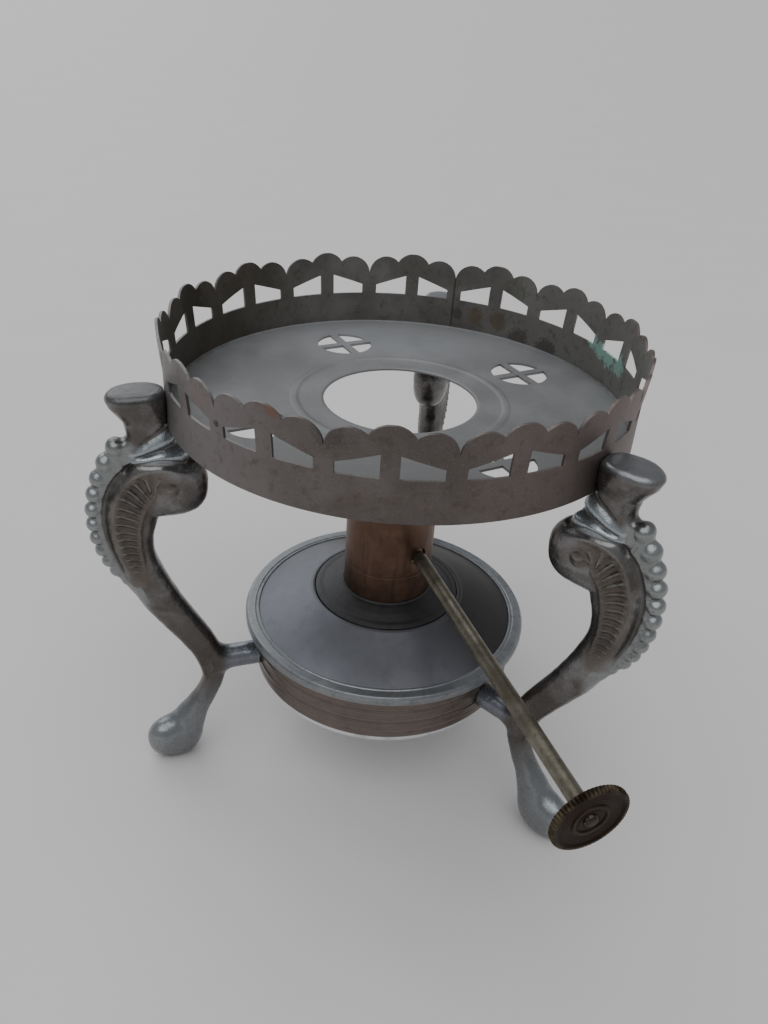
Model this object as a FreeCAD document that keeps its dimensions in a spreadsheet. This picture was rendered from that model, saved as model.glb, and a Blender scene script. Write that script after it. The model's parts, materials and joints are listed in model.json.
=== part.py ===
import FreeCAD, Part
import math
import os
import Sketcher

# Spirit burner in a three-legged kettle stand, in millimetres.
# Origin: on the gallery's axis at the level of the three soles, +Z up.
# The stand is a pierced gallery band round a plate, on three cast legs whose
# branches hold a ring. The lamp hangs in that ring by its rim: a low font, a
# burner head screwed into its neck, a flat wick and a winder with a long rod.

doc = FreeCAD.newDocument("alcohol_burner")
sheet = doc.addObject("Spreadsheet::Sheet", "Sizes")
V = FreeCAD.Vector

SIZES = {
    # how far a cutting shape reaches past the metal it cuts
    "cut_margin": 2.0,
    # gallery band: straight wall below, slightly flared where it is pierced
    "band_radius": 60.0, "band_lip_radius": 61.2, "band_wall": 0.65,
    "band_bottom": 111.1, "window_sill": 121.4, "flare_start": 122.2,
    "band_top": 133.8, "motifs": 14, "motif_half_width": 13.5,
    "motif_flare": 0.6, "motif_phase": 86.5,
    "lobe_notch": 4.7, "lobe_notch_level": 131.0, "lobe_radius": 5.5,
    "side_lobe_radius": 5.2, "motif_notch_level": 127.4,
    "window_inside": 2.0, "window_outside": 11.3,
    "window_tall": 127.1, "window_short": 124.1,
    # plate inside the band
    "plate_top": 112.4, "plate_wall": 0.7, "plate_hole": 20.1,
    "bead_radius": 27.7, "bead_half_width": 0.9, "bead_height": 0.45,
    "rosette_reach": 40.4, "rosette_radius": 7.9, "rosette_half_bar": 1.1,
    "rosette_arc": 7.4, "rosette_turn": 28.0,
    # holder ring under the lamp's rim
    "holder_radius": 38.6, "holder_wall": 0.8, "holder_bottom": 28.3,
    "holder_top": 41.3, "holder_groove": 0.25,
    "holder_line_low": 33.2, "holder_line_high": 37.4,
    # font: base pan, cup, rim and shoulder
    "font_radius": 37.4, "font_wall": 0.7, "base_level": 24.1,
    "base_corner": 3.0, "corner_arc": 3.01, "base_top": 29.6, "base_dish": 1.2,
    "dish_radius": 27.0, "cup_top": 44.2, "rim_radius": 41.5,
    "rim_edge_low": 42.5, "rim_edge_high": 44.5, "rim_under": 41.7,
    "rim_top": 45.2, "rim_inner_top": 44.9, "rim_foot": 1.0,
    "rim_round": 0.7, "rim_lip": 0.8,
    "neck_radius": 21.2, "neck_level": 51.9, "neck_skirt": 47.6,
    # threaded neck and burner head
    "collar_bore": 17.4, "collar_top": 49.8, "collar_bottom": 44.6, "collar_step": 1.8,
    "gasket_gap": 0.1, "gasket_thick": 1.0, "gasket_inner": 17.6,
    "flange_radius": 20.9, "flange_edge": 52.3, "flange_hub": 54.8,
    "spigot_radius": 17.2, "spigot_wall": 1.3, "spigot_bottom": 44.4,
    "tube_radius": 12.6, "tube_wall": 0.7, "tube_bottom": 50.9,
    "tube_top": 90.0, "tube_bead": 0.45, "tube_bead_height": 1.6,
    "rod_hole": 2.5, "passage_half": 3.0, "cap_level": 88.0, "cap_thick": 0.8,
    # wick and its flat guide
    "wick_half_width": 7.4, "wick_near": 0.9, "wick_far": 2.1,
    "wick_bottom": 34.0, "wick_top": 94.0, "guide_gap": 0.15,
    "guide_half_width": 7.95, "guide_near": 1.45, "guide_far": 2.65,
    "guide_bottom": 58.0, "guide_top": 92.0,
    "guide_window": 2.4, "guide_window_height": 5.4, "guide_window_depth": 5.0,
    # winder: its axis leaves the tube wall at this azimuth and height
    "winder_entry_azimuth": -50.2, "winder_entry_height": 69.0,
    "winder_azimuth": -68.8, "winder_drop": 3.0,
    "rod_radius": 2.0, "rod_start": 0.8, "rod_end": 88.2,
    "spindle_radius": 1.5, "spindle_end": -21.7, "peen_radius": 1.7,
    "peen_height": 0.9, "peen_round": 0.6, "spur_radius": 2.9, "spur_gap": 0.55,
    "spur_gap_offset": 0.1, "spur_thick": 0.8, "spur_teeth": 10, "spur_first": -16.9,
    "spur_pitch": 4.7, "stop_radius": 2.3, "stop_start": -5.7,
    "stop_length": 1.5, "bush_radius": 3.0, "bush_bore": 1.55,
    "bush_start": -3.6, "bush_length": 6.0,
    "inner_bush_start": -25.0, "inner_bush_length": 4.5,
    "wheel_radius": 9.1, "wheel_thick": 1.8, "wheel_recess": 0.35,
    "wheel_rim": 1.1, "wheel_dish": 0.3, "wheel_ring_inner": 3.6, "wheel_ring_outer": 4.4,
    "knurls": 60, "knurl_half_width": 0.33, "knurl_offset": 0.05,
    # legs
    "leg_left_azimuth": 198.0, "leg_right_azimuth": -42.0, "leg_back_azimuth": 78.0,
    "band_seat_height": 20.0, "ring_seat_low": 20.0, "ring_seat_height": 30.0,
    "branch_radius": 3.6, "branch_height": 34.0, "branch_root": 52.5,
    "volute_reach": 59.0, "volute_height": 93.4,
    "volute_radius": 8.1, "volute_breadth": 5.6,
    "foot_reach": 64.4, "foot_height": 7.2, "foot_radius": 7.9,
    "pearls": 10, "pearl_first_radius": 2.15, "pearl_last_radius": 1.45,
    # seam rivets of the band
    "seam_azimuth": 72.3, "rivet_low": 114.2, "rivet_high": 119.6,
    "rivet_radius": 0.8, "rivet_head": 1.3, "rivet_head_height": 0.45,
    "rivet_crown": 0.9, "rivet_seat": 0.02,
}

# Stations down a leg from its flat flared head: reach from the axis, height,
# lean of the section, half depth in the leg's plane and half breadth across it.
LEG_STATIONS = [
    (66.2, 120.0, 0.0, 6.5, 4.9),
    (66.5, 119.2, 0.0, 7.2, 5.5),
    (66.5, 117.8, 0.0, 7.4, 5.6),
    (65.7, 115.2, 0.0, 6.7, 5.2),
    (64.4, 111.2, 0.0, 5.3, 4.3),
    (65.0, 107.0, 0.0, 5.9, 4.3),
    (68.6, 101.0, 0.0, 7.6, 4.4),
    (71.8, 92.0, 0.0, 8.6, 4.3),
    (72.8, 84.0, 3.0, 7.9, 4.2),
    (72.2, 76.0, 10.0, 7.0, 4.1),
    (69.8, 67.5, 22.0, 6.3, 4.0),
    (65.2, 57.5, 30.0, 5.2, 3.8),
    (57.8, 44.0, 32.0, 4.6, 3.6),
    (52.4, 34.0, 12.0, 4.2, 3.4),
    (53.0, 25.0, -25.0, 3.5, 3.2),
    (58.6, 16.5, -35.0, 3.9, 3.6),
    (62.6, 10.0, -30.0, 6.4, 5.0),
]

# The row of pearls follows one arc through these three places (reach, height).
PEARL_ARC = [(72.0, 105.8), (80.4, 86.8), (76.6, 69.4)]

# Azimuths of the four pierced rosettes in the plate.
ROSETTE_AZIMUTHS = [32.5, 113.5, 209.5, 305.5]


def fill_sheet():
    """Writes each driving dimension as a plain number with an alias."""
    rows = dict(SIZES)
    for number, station in enumerate(LEG_STATIONS, 1):
        for word, value in zip(("reach", "height", "lean", "depth", "breadth"), station):
            rows[f"leg_{number}_{word}"] = value
    for number, (reach, height) in enumerate(PEARL_ARC, 1):
        rows[f"pearl_{number}_reach"] = reach
        rows[f"pearl_{number}_height"] = height
    for number, azimuth in enumerate(ROSETTE_AZIMUTHS, 1):
        rows[f"rosette_{number}_azimuth"] = azimuth
    for row, (alias, value) in enumerate(rows.items(), 1):
        sheet.set(f"A{row}", alias)
        sheet.set(f"B{row}", str(value))
        sheet.setAlias(f"B{row}", alias)
    doc.recompute()


def size(alias):
    return float(sheet.get(alias))


def terms(expression):
    """The words of a sum such as 'tube_radius - tube_wall', with their signs."""
    sign = 1
    for word in expression.split():
        if word in "+-":
            sign = 1 if word == "+" else -1
        else:
            yield sign, word


def value_of(expression):
    total = 0.0
    for sign, word in terms(expression):
        total += sign * (size(word) if word[0].isalpha() else float(word))
    return total


def bound(expression):
    """The same sum with each alias read from the sheet."""
    parts = []
    for sign, word in terms(expression):
        name = f"Sizes.{word}" if word[0].isalpha() else word
        parts.append(("+ " if sign > 0 else "- ") + name)
    return "0 " + " ".join(parts)


def bind(item, **expressions):
    for name, expression in expressions.items():
        item.setExpression(name, bound(expression))


def new_body(name):
    body = doc.addObject("PartDesign::Body", name)
    body.Label = name
    return body


def origin_feature(body, role):
    return next(f for f in body.Origin.OriginFeatures if f.Role == role)


def sketch_on(body, role, name, offset=None):
    """A sketch on one of the body's own origin planes."""
    sketch = body.newObject("Sketcher::SketchObject", name)
    sketch.AttachmentSupport = [(origin_feature(body, role), "")]
    sketch.MapMode = "FlatFace"
    if offset is not None:
        sketch.AttachmentOffset = offset
    return sketch


def level_sketch(body, name, height):
    """A horizontal sketch at a bound height."""
    sketch = sketch_on(body, "XY_Plane", name, FreeCAD.Placement(V(0, 0, size(height)), about_z(0)))
    bind(sketch, **{"AttachmentOffset.Base.z": height})
    return sketch


def fix_vertex(sketch, geometry, vertex, across, along):
    """Holds a vertex at two bound distances from the sketch's origin."""
    for kind, expression in (("DistanceX", across), ("DistanceY", along)):
        value = value_of(expression)
        if abs(value) < 1e-9:
            line = -2 if kind == "DistanceX" else -1
            sketch.addConstraint(Sketcher.Constraint("PointOnObject", geometry, vertex, line))
        elif value > 0:
            index = sketch.addConstraint(
                Sketcher.Constraint(kind, -1, 1, geometry, vertex, value))
            sketch.setExpression(f"Constraints[{index}]", bound(expression))
        else:
            index = sketch.addConstraint(
                Sketcher.Constraint(kind, geometry, vertex, -1, 1, -value))
            sketch.setExpression(f"Constraints[{index}]", f"-1 * ({bound(expression)})")


def bulge(start, end, radius):
    """The arc between two places that stands out to the left of the chord. It
    runs anticlockwise, so it begins at the chord's end."""
    chord = end - start
    normal = V(-chord.y, chord.x, 0).normalize()
    centre = (start + end) * 0.5 - normal * math.sqrt(radius ** 2 - (chord.Length / 2) ** 2)
    first, last = (math.atan2(p.y - centre.y, p.x - centre.x) for p in (end, start))
    if last < first:
        last += 2 * math.pi
    return Part.ArcOfCircle(Part.Circle(centre, V(0, 0, 1), radius), first, last)


def outline(sketch, corners, arcs=None):
    """A closed outline through bound corners. arcs maps the number of an edge
    to the alias of its radius; such an edge stands out to its left."""
    arcs = arcs or {}
    first = sketch.GeometryCount
    places = [V(value_of(x), value_of(y), 0) for x, y in corners]
    ends = []
    for number, start in enumerate(places):
        end = places[(number + 1) % len(places)]
        if number in arcs:
            sketch.addGeometry(bulge(start, end, size(arcs[number])), False)
            ends.append((2, 1))
        else:
            sketch.addGeometry(Part.LineSegment(start, end), False)
            ends.append((1, 2))
    for number, (across, along) in enumerate(corners):
        geometry = first + number
        before = first + (number - 1) % len(corners)
        sketch.addConstraint(Sketcher.Constraint(
            "Coincident", before, ends[number - 1][1], geometry, ends[number][0]))
        fix_vertex(sketch, geometry, ends[number][0], across, along)
    for number, alias in arcs.items():
        index = sketch.addConstraint(
            Sketcher.Constraint("Radius", first + number, size(alias)))
        sketch.setExpression(f"Constraints[{index}]", bound(alias))


def circle(sketch, radius, across="0", along="0"):
    centre = V(value_of(across), value_of(along), 0)
    number = sketch.addGeometry(Part.Circle(centre, V(0, 0, 1), value_of(radius)), False)
    fix_vertex(sketch, number, 3, across, along)
    index = sketch.addConstraint(
        Sketcher.Constraint("Radius", number, value_of(radius)))
    sketch.setExpression(f"Constraints[{index}]", bound(radius))


def turned(name, corners, arcs=None):
    """A body of revolution about its own Z axis; corners are (radius, height)."""
    body = new_body(name)
    sketch = sketch_on(body, "XZ_Plane", name + "_section")
    outline(sketch, corners, arcs)
    revolution = body.newObject("PartDesign::Revolution", name + "_turned")
    revolution.Profile = sketch
    revolution.ReferenceAxis = (sketch, ["V_Axis"])
    revolution.Angle = 360.0
    sketch.Visibility = False
    doc.recompute()
    return body


def padded(body, sketch, height, reverse=False):
    pad = body.newObject("PartDesign::Pad", sketch.Name + "_pad")
    pad.Profile = sketch
    pad.Reversed = reverse
    bind(pad, Length=height)
    doc.recompute()
    return pad


def pocketed(body, sketch, depth, reverse=False):
    """A pocket that has to take something away."""
    before = body.Shape.Volume
    pocket = body.newObject("PartDesign::Pocket", sketch.Name + "_pocket")
    pocket.Profile = sketch
    pocket.Reversed = reverse
    bind(pocket, Length=depth)
    doc.recompute()
    if body.Shape.Volume > before - 1e-6:
        raise RuntimeError(f"{pocket.Name} cuts nothing")
    return pocket


def repeated(body, feature, count):
    """The feature repeated evenly about the body's own Z axis."""
    pattern = body.newObject("PartDesign::PolarPattern", feature.Name + "_round")
    pattern.Originals = [feature]
    pattern.Axis = (origin_feature(body, "Z_Axis"), [""])
    pattern.Angle = 360.0
    bind(pattern, Occurrences=count)
    body.Tip = pattern
    doc.recompute()
    return pattern


def primitive(body, kind, name, place=None, **expressions):
    """An additive or subtractive primitive of a body."""
    item = body.newObject(f"PartDesign::{kind}", name)
    if place is not None:
        item.Placement = place
    bind(item, **expressions)
    return item


def about_z(degrees):
    return FreeCAD.Rotation(V(0, 0, 1), degrees)


def on_circle(radius, azimuth, height):
    turn = math.radians(azimuth)
    return V(radius * math.cos(turn), radius * math.sin(turn), height)


def winder_frame(distance=0.0):
    """A frame whose Z axis runs out along the winder's rod. Distance 0 is where
    the rod leaves the tube's outer wall."""
    rotation = about_z(size("winder_azimuth")).multiply(
        FreeCAD.Rotation(V(0, 1, 0), 90.0 + size("winder_drop")))
    entry = on_circle(
        size("tube_radius"), size("winder_entry_azimuth"), size("winder_entry_height"))
    along = rotation.multVec(V(0, 0, 1))
    return FreeCAD.Placement(entry + along * distance, rotation)


# ---------------------------------------------------------------- the stand

def make_gallery_band():
    """Sheet ring: plain below, pierced and scalloped above in equal motifs. Each
    motif has three lobes and two windows that slope down away from its middle."""
    body = turned("gallery_band", [
        ("band_radius - band_wall", "band_bottom"),
        ("band_radius", "band_bottom"),
        ("band_radius", "flare_start"),
        ("band_lip_radius", "band_top"),
        ("band_lip_radius - band_wall", "band_top"),
        ("band_radius - band_wall", "flare_start"),
    ])
    turn = FreeCAD.Placement(V(), FreeCAD.Rotation(V(0, 1, 0), size("motif_phase") - 90.0))
    scallop = sketch_on(body, "XZ_Plane", "scallop", turn)
    outline(scallop, [
        ("motif_half_width + motif_flare", "band_top + cut_margin"),
        ("0 - motif_half_width - motif_flare", "band_top + cut_margin"),
        ("0 - motif_half_width", "motif_notch_level"),
        ("0 - lobe_notch", "lobe_notch_level"),
        ("lobe_notch", "lobe_notch_level"),
        ("motif_half_width", "motif_notch_level"),
    ], {2: "side_lobe_radius", 3: "lobe_radius", 4: "side_lobe_radius"})
    cut = pocketed(body, scallop, "band_lip_radius + cut_margin")
    repeated(body, cut, "motifs")
    windows = sketch_on(body, "XZ_Plane", "windows", turn)
    for side in ("0 - ", ""):
        outline(windows, [
            (side + "window_inside", "window_sill"),
            (side + "window_outside", "window_sill"),
            (side + "window_outside", "window_short"),
            (side + "window_inside", "window_tall"),
        ])
    cut = pocketed(body, windows, "band_lip_radius + cut_margin")
    repeated(body, cut, "motifs")
    turn = about_z(size("seam_azimuth")).multiply(FreeCAD.Rotation(V(0, 1, 0), 90.0))
    inside = size("band_radius") - size("cut_margin")
    for height in ("rivet_low", "rivet_high"):
        body.Tip = primitive(
            body, "SubtractiveCylinder", height + "_hole",
            FreeCAD.Placement(on_circle(inside, size("seam_azimuth"), size(height)), turn),
            Radius="rivet_radius", Height="cut_margin + cut_margin")
    doc.recompute()


def make_seam_rivets():
    """Two rivets that close the band's seam: flush inside, low heads outside."""
    shank, head, crown = (size(a) for a in ("rivet_radius", "rivet_head", "rivet_crown"))
    outer = size("band_radius")
    inner = outer - size("band_wall")
    seat, top = outer + size("rivet_seat"), outer + size("rivet_head_height")
    rivets = []
    for level in ("rivet_low", "rivet_high"):
        profile = Part.makePolygon([
            V(0, 0, inner), V(shank, 0, inner), V(shank, 0, seat), V(head, 0, seat),
            V(crown, 0, top), V(0, 0, top), V(0, 0, inner)])
        rivet = Part.Face(profile).revolve(V(), V(0, 0, 1), 360)
        rivet.Placement = FreeCAD.Placement(V(0, 0, size(level)), about_z(
            size("seam_azimuth")).multiply(FreeCAD.Rotation(V(0, 1, 0), 90.0)))
        rivets.append(rivet)
    group = doc.addObject("Part::Feature", "seam_rivets")
    group.Shape = Part.makeCompound(rivets)
    group.Label = "seam_rivets"


def make_top_plate():
    """Flat disc with a raised bead round its hole and four pierced rosettes."""
    body = turned("top_plate", [
        ("plate_hole", "plate_top - plate_wall"),
        ("band_radius - band_wall", "plate_top - plate_wall"),
        ("band_radius - band_wall", "plate_top"),
        ("bead_radius + bead_half_width", "plate_top"),
        ("bead_radius", "plate_top + bead_height"),
        ("bead_radius - bead_half_width", "plate_top"),
        ("plate_hole", "plate_top"),
    ])
    for number in range(1, len(ROSETTE_AZIMUTHS) + 1):
        centre = on_circle(
            size("rosette_reach"), size(f"rosette_{number}_azimuth"), size("plate_top"))
        for quarter in range(4):
            turn = about_z(size("rosette_turn") + 90.0 * quarter)
            petal = sketch_on(
                body, "XY_Plane", f"petal_{number}_{quarter}", FreeCAD.Placement(centre, turn))
            outline(petal, [
                ("rosette_half_bar", "rosette_half_bar"),
                ("rosette_half_bar", "rosette_radius"),
                ("rosette_radius", "rosette_half_bar"),
            ], {1: "rosette_arc"})
            pocketed(body, petal, "plate_wall + cut_margin")


def make_holder_ring():
    """Plain ring with two fine turned lines, in which the lamp hangs."""
    turned("holder_ring", [
        ("holder_radius - holder_wall", "holder_bottom"),
        ("holder_radius", "holder_bottom"),
        ("holder_radius", "holder_line_low - holder_groove"),
        ("holder_radius - holder_groove", "holder_line_low"),
        ("holder_radius", "holder_line_low + holder_groove"),
        ("holder_radius", "holder_line_high - holder_groove"),
        ("holder_radius - holder_groove", "holder_line_high"),
        ("holder_radius", "holder_line_high + holder_groove"),
        ("holder_radius", "holder_top"),
        ("holder_radius - holder_wall", "holder_top"),
    ])


def ellipse_section(body, number):
    """One elliptical section of a leg, its long axis in the leg's plane."""
    reach, height, lean, depth, breadth = (
        size(f"leg_{number}_{word}") for word in ("reach", "height", "lean", "depth", "breadth"))
    place = FreeCAD.Placement(V(reach, 0, height), FreeCAD.Rotation(V(0, 1, 0), lean))
    sketch = sketch_on(body, "XY_Plane", f"{body.Name}_section_{number}", place)
    bind(sketch, **{
        "AttachmentOffset.Base.x": f"leg_{number}_reach",
        "AttachmentOffset.Base.z": f"leg_{number}_height"})
    sketch.addGeometry(Part.Ellipse(V(-depth, 0, 0), V(0, -breadth, 0), V()), False)
    sketch.exposeInternalGeometry(0)
    sketch.addConstraint(Sketcher.Constraint("Coincident", 0, 3, -1, 1))
    sketch.addConstraint(Sketcher.Constraint("PointOnObject", 1, 1, -1))
    for line, word in ((1, "depth"), (2, "breadth")):
        ends = (line, 1, line, 2)
        index = sketch.addConstraint(
            Sketcher.Constraint("Distance", *ends, 2 * size(f"leg_{number}_{word}")))
        sketch.setExpression(f"Constraints[{index}]", f"2 * Sizes.leg_{number}_{word}")
    return sketch


def rounded_foot(body):
    """The ball at the end of a leg, cut level where it stands."""
    foot = primitive(
        body, "AdditiveSphere", f"{body.Name}_foot",
        FreeCAD.Placement(V(size("foot_reach"), 0, size("foot_height")), about_z(0)),
        Radius="foot_radius")
    bind(foot, **{"Placement.Base.x": "foot_reach", "Placement.Base.z": "foot_height"})
    foot.setExpression("Angle1", "-asin(Sizes.foot_height / Sizes.foot_radius)")


def make_leg(name):
    """One cast leg in its own plane (X outwards), then turned to its azimuth."""
    body = new_body(name)
    sections = [ellipse_section(body, n) for n in range(1, len(LEG_STATIONS) + 1)]
    stem = body.newObject("PartDesign::AdditiveLoft", name + "_stem")
    stem.Profile = sections[0]
    stem.Sections = sections[1:]
    doc.recompute()
    rounded_foot(body)
    volute = primitive(
        body, "AdditiveCylinder", name + "_volute",
        FreeCAD.Placement(
            V(size("volute_reach"), size("volute_breadth"), size("volute_height")),
            FreeCAD.Rotation(V(1, 0, 0), 90.0)),
        Radius="volute_radius", Height="volute_breadth + volute_breadth")
    bind(volute, **{
        "Placement.Base.x": "volute_reach", "Placement.Base.y": "volute_breadth",
        "Placement.Base.z": "volute_height"})
    branch = primitive(
        body, "AdditiveCylinder", name + "_branch",
        FreeCAD.Placement(V(0, 0, size("branch_height")), FreeCAD.Rotation(V(0, 1, 0), 90.0)),
        Radius="branch_radius", Height="branch_root")
    bind(branch, **{"Placement.Base.z": "branch_height"})
    arc = Part.Arc(*[
        V(size(f"pearl_{n}_reach"), 0, size(f"pearl_{n}_height")) for n in (1, 2, 3)]).toShape()
    pearls = int(size("pearls"))
    for number in range(pearls):
        share = number / (pearls - 1)
        first, last = size("pearl_first_radius"), size("pearl_last_radius")
        pearl = body.newObject("PartDesign::AdditiveSphere", f"{name}_pearl_{number + 1}")
        pearl.Radius = first + (last - first) * share
        span = arc.LastParameter - arc.FirstParameter
        # a sphere's seam line points inwards, where the stem covers it
        pearl.Placement = FreeCAD.Placement(
            arc.valueAt(arc.FirstParameter + span * share), about_z(180.0))
    primitive(
        body, "SubtractiveCylinder", name + "_band_seat",
        FreeCAD.Placement(V(0, 0, size("band_bottom")), about_z(0)),
        Radius="band_radius", Height="band_seat_height")
    primitive(
        body, "SubtractiveCylinder", name + "_ring_seat",
        FreeCAD.Placement(V(0, 0, size("ring_seat_low")), about_z(0)),
        Radius="holder_radius", Height="ring_seat_height")
    doc.recompute()
    body.Placement = FreeCAD.Placement(V(), about_z(size(name + "_azimuth")))


# ----------------------------------------------------------------- the font

def make_font():
    """Base pan, cup wall, rim, conical shoulder and the threaded neck in it."""
    turned("font_base", [
        ("0", "base_level + base_dish + font_wall"),
        ("dish_radius", "base_level + base_dish + font_wall"),
        ("dish_radius + base_dish", "base_level + font_wall"),
        ("font_radius - base_corner", "base_level + font_wall"),
        ("font_radius - font_wall", "base_level + base_corner"),
        ("font_radius - font_wall", "base_top"),
        ("font_radius", "base_top"),
        ("font_radius", "base_level + base_corner"),
        ("font_radius - base_corner", "base_level"),
        ("dish_radius + base_dish", "base_level"),
        ("dish_radius", "base_level + base_dish"),
        ("0", "base_level + base_dish"),
    ], {7: "corner_arc"})
    turned("font_cup", [
        ("font_radius - font_wall", "base_top"),
        ("font_radius", "base_top"),
        ("font_radius", "cup_top"),
        ("font_radius - font_wall", "cup_top"),
    ])
    turned("font_rim", [
        ("font_radius", "rim_under"),
        ("font_radius + rim_foot", "rim_under"),
        ("rim_radius", "rim_edge_low"),
        ("rim_radius", "rim_edge_high"),
        ("rim_radius - rim_round", "rim_top"),
        ("font_radius + rim_lip", "rim_top"),
        ("font_radius", "rim_inner_top"),
    ])
    turned("font_shoulder", [
        ("font_radius - font_wall", "cup_top"),
        ("font_radius", "cup_top"),
        ("font_radius", "cup_top + font_wall"),
        ("neck_radius + font_wall", "neck_level"),
        ("neck_radius", "neck_level"),
        ("neck_radius", "neck_skirt"),
        ("neck_radius + font_wall", "neck_skirt"),
        ("neck_radius + font_wall", "neck_level - font_wall"),
    ])
    turned("neck_collar", [
        ("collar_bore", "collar_bottom"),
        ("neck_radius - collar_step", "collar_bottom"),
        ("neck_radius - collar_step", "neck_skirt"),
        ("neck_radius", "neck_skirt"),
        ("neck_radius", "collar_top"),
        ("collar_bore", "collar_top"),
    ])


# ---------------------------------------------------------- the burner head

def make_head():
    """Gasket, threaded flange, tube, cap and the flat wick guide."""
    turned("neck_gasket", [
        ("gasket_inner", "collar_top + gasket_gap"),
        ("flange_radius", "collar_top + gasket_gap"),
        ("flange_radius", "collar_top + gasket_gap + gasket_thick"),
        ("gasket_inner", "collar_top + gasket_gap + gasket_thick"),
    ])
    turned("burner_flange", [
        ("spigot_radius - spigot_wall", "spigot_bottom"),
        ("spigot_radius", "spigot_bottom"),
        ("spigot_radius", "tube_bottom"),
        ("flange_radius", "tube_bottom"),
        ("flange_radius", "flange_edge"),
        ("tube_radius", "flange_hub"),
        ("tube_radius", "tube_bottom"),
        ("spigot_radius - spigot_wall", "tube_bottom"),
    ])
    tube = turned("burner_tube", [
        ("tube_radius - tube_wall", "tube_bottom"),
        ("tube_radius", "tube_bottom"),
        ("tube_radius", "tube_top - tube_bead_height"),
        ("tube_radius + tube_bead", "tube_top - tube_bead_height + tube_bead"),
        ("tube_radius + tube_bead", "tube_top - tube_bead"),
        ("tube_radius", "tube_top"),
        ("tube_radius - tube_wall", "tube_top"),
    ])
    tube.Tip = primitive(
        tube, "SubtractiveCylinder", "rod_passage", winder_frame(-size("passage_half")),
        Radius="rod_hole", Height="passage_half + passage_half")
    doc.recompute()

    turn = FreeCAD.Placement(V(), about_z(size("winder_azimuth")))
    guide_outer = [
        ("0 - guide_half_width", "0 - guide_far"), ("guide_half_width", "0 - guide_far"),
        ("guide_half_width", "guide_near"), ("0 - guide_half_width", "guide_near")]
    guide_inner = [
        ("0 - wick_half_width - guide_gap", "0 - wick_far - guide_gap"),
        ("wick_half_width + guide_gap", "0 - wick_far - guide_gap"),
        ("wick_half_width + guide_gap", "wick_near + guide_gap"),
        ("0 - wick_half_width - guide_gap", "wick_near + guide_gap")]

    guide = new_body("wick_guide")
    sketch = level_sketch(guide, "guide_section", "guide_bottom")
    outline(sketch, guide_outer)
    outline(sketch, guide_inner)
    padded(guide, sketch, "guide_top - guide_bottom")
    for number in range(3):
        middle = winder_frame(spur_place(number) + size("spur_thick") / 2).Base
        along = turn.inverse().multVec(middle)
        guide.Tip = primitive(
            guide, "SubtractiveBox", f"spur_window_{number + 1}",
            FreeCAD.Placement(V(
                along.x - size("guide_window") / 2, 0,
                along.z - size("guide_window_height") / 2), about_z(0)),
            Length="guide_window", Width="guide_window_depth", Height="guide_window_height")
    doc.recompute()
    guide.Placement = turn

    cap = new_body("burner_cap")
    sketch = level_sketch(cap, "cap_section", "cap_level")
    circle(sketch, "tube_radius - tube_wall")
    outline(sketch, guide_outer)
    padded(cap, sketch, "cap_thick")
    cap.Placement = turn

    wick = new_body("wick")
    sketch = level_sketch(wick, "wick_section", "wick_bottom")
    outline(sketch, [
        ("0 - wick_half_width", "0 - wick_far"), ("wick_half_width", "0 - wick_far"),
        ("wick_half_width", "wick_near"), ("0 - wick_half_width", "wick_near")])
    padded(wick, sketch, "wick_top - wick_bottom")
    wick.Placement = turn


def make_bush(name, start, length):
    """A bearing bush on the rod's axis, trimmed to the tube's inner wall. It
    begins at the distance start from the tube's outer wall and runs outwards."""
    solid = doc.addObject("Part::Cylinder", name + "_blank")
    bind(solid, Radius="bush_radius", Height=length)
    solid.Placement = winder_frame(size(start))
    bore = doc.addObject("Part::Cylinder", name + "_bore")
    bind(bore, Radius="bush_bore", Height=length + " + cut_margin + cut_margin")
    bore.Placement = winder_frame(size(start) - size("cut_margin"))
    ring = doc.addObject("Part::Cut", name + "_ring")
    ring.Base, ring.Tool = solid, bore
    inside = doc.addObject("Part::Cylinder", name + "_tube_inside")
    bind(inside, Radius="tube_radius - tube_wall", Height="tube_top")
    bush = doc.addObject("Part::Common", name)
    bush.Base, bush.Tool = ring, inside
    bush.Label = name
    doc.recompute()


# --------------------------------------------------------------- the winder

def spur_place(number):
    return size("spur_first") + number * size("spur_pitch")


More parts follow.
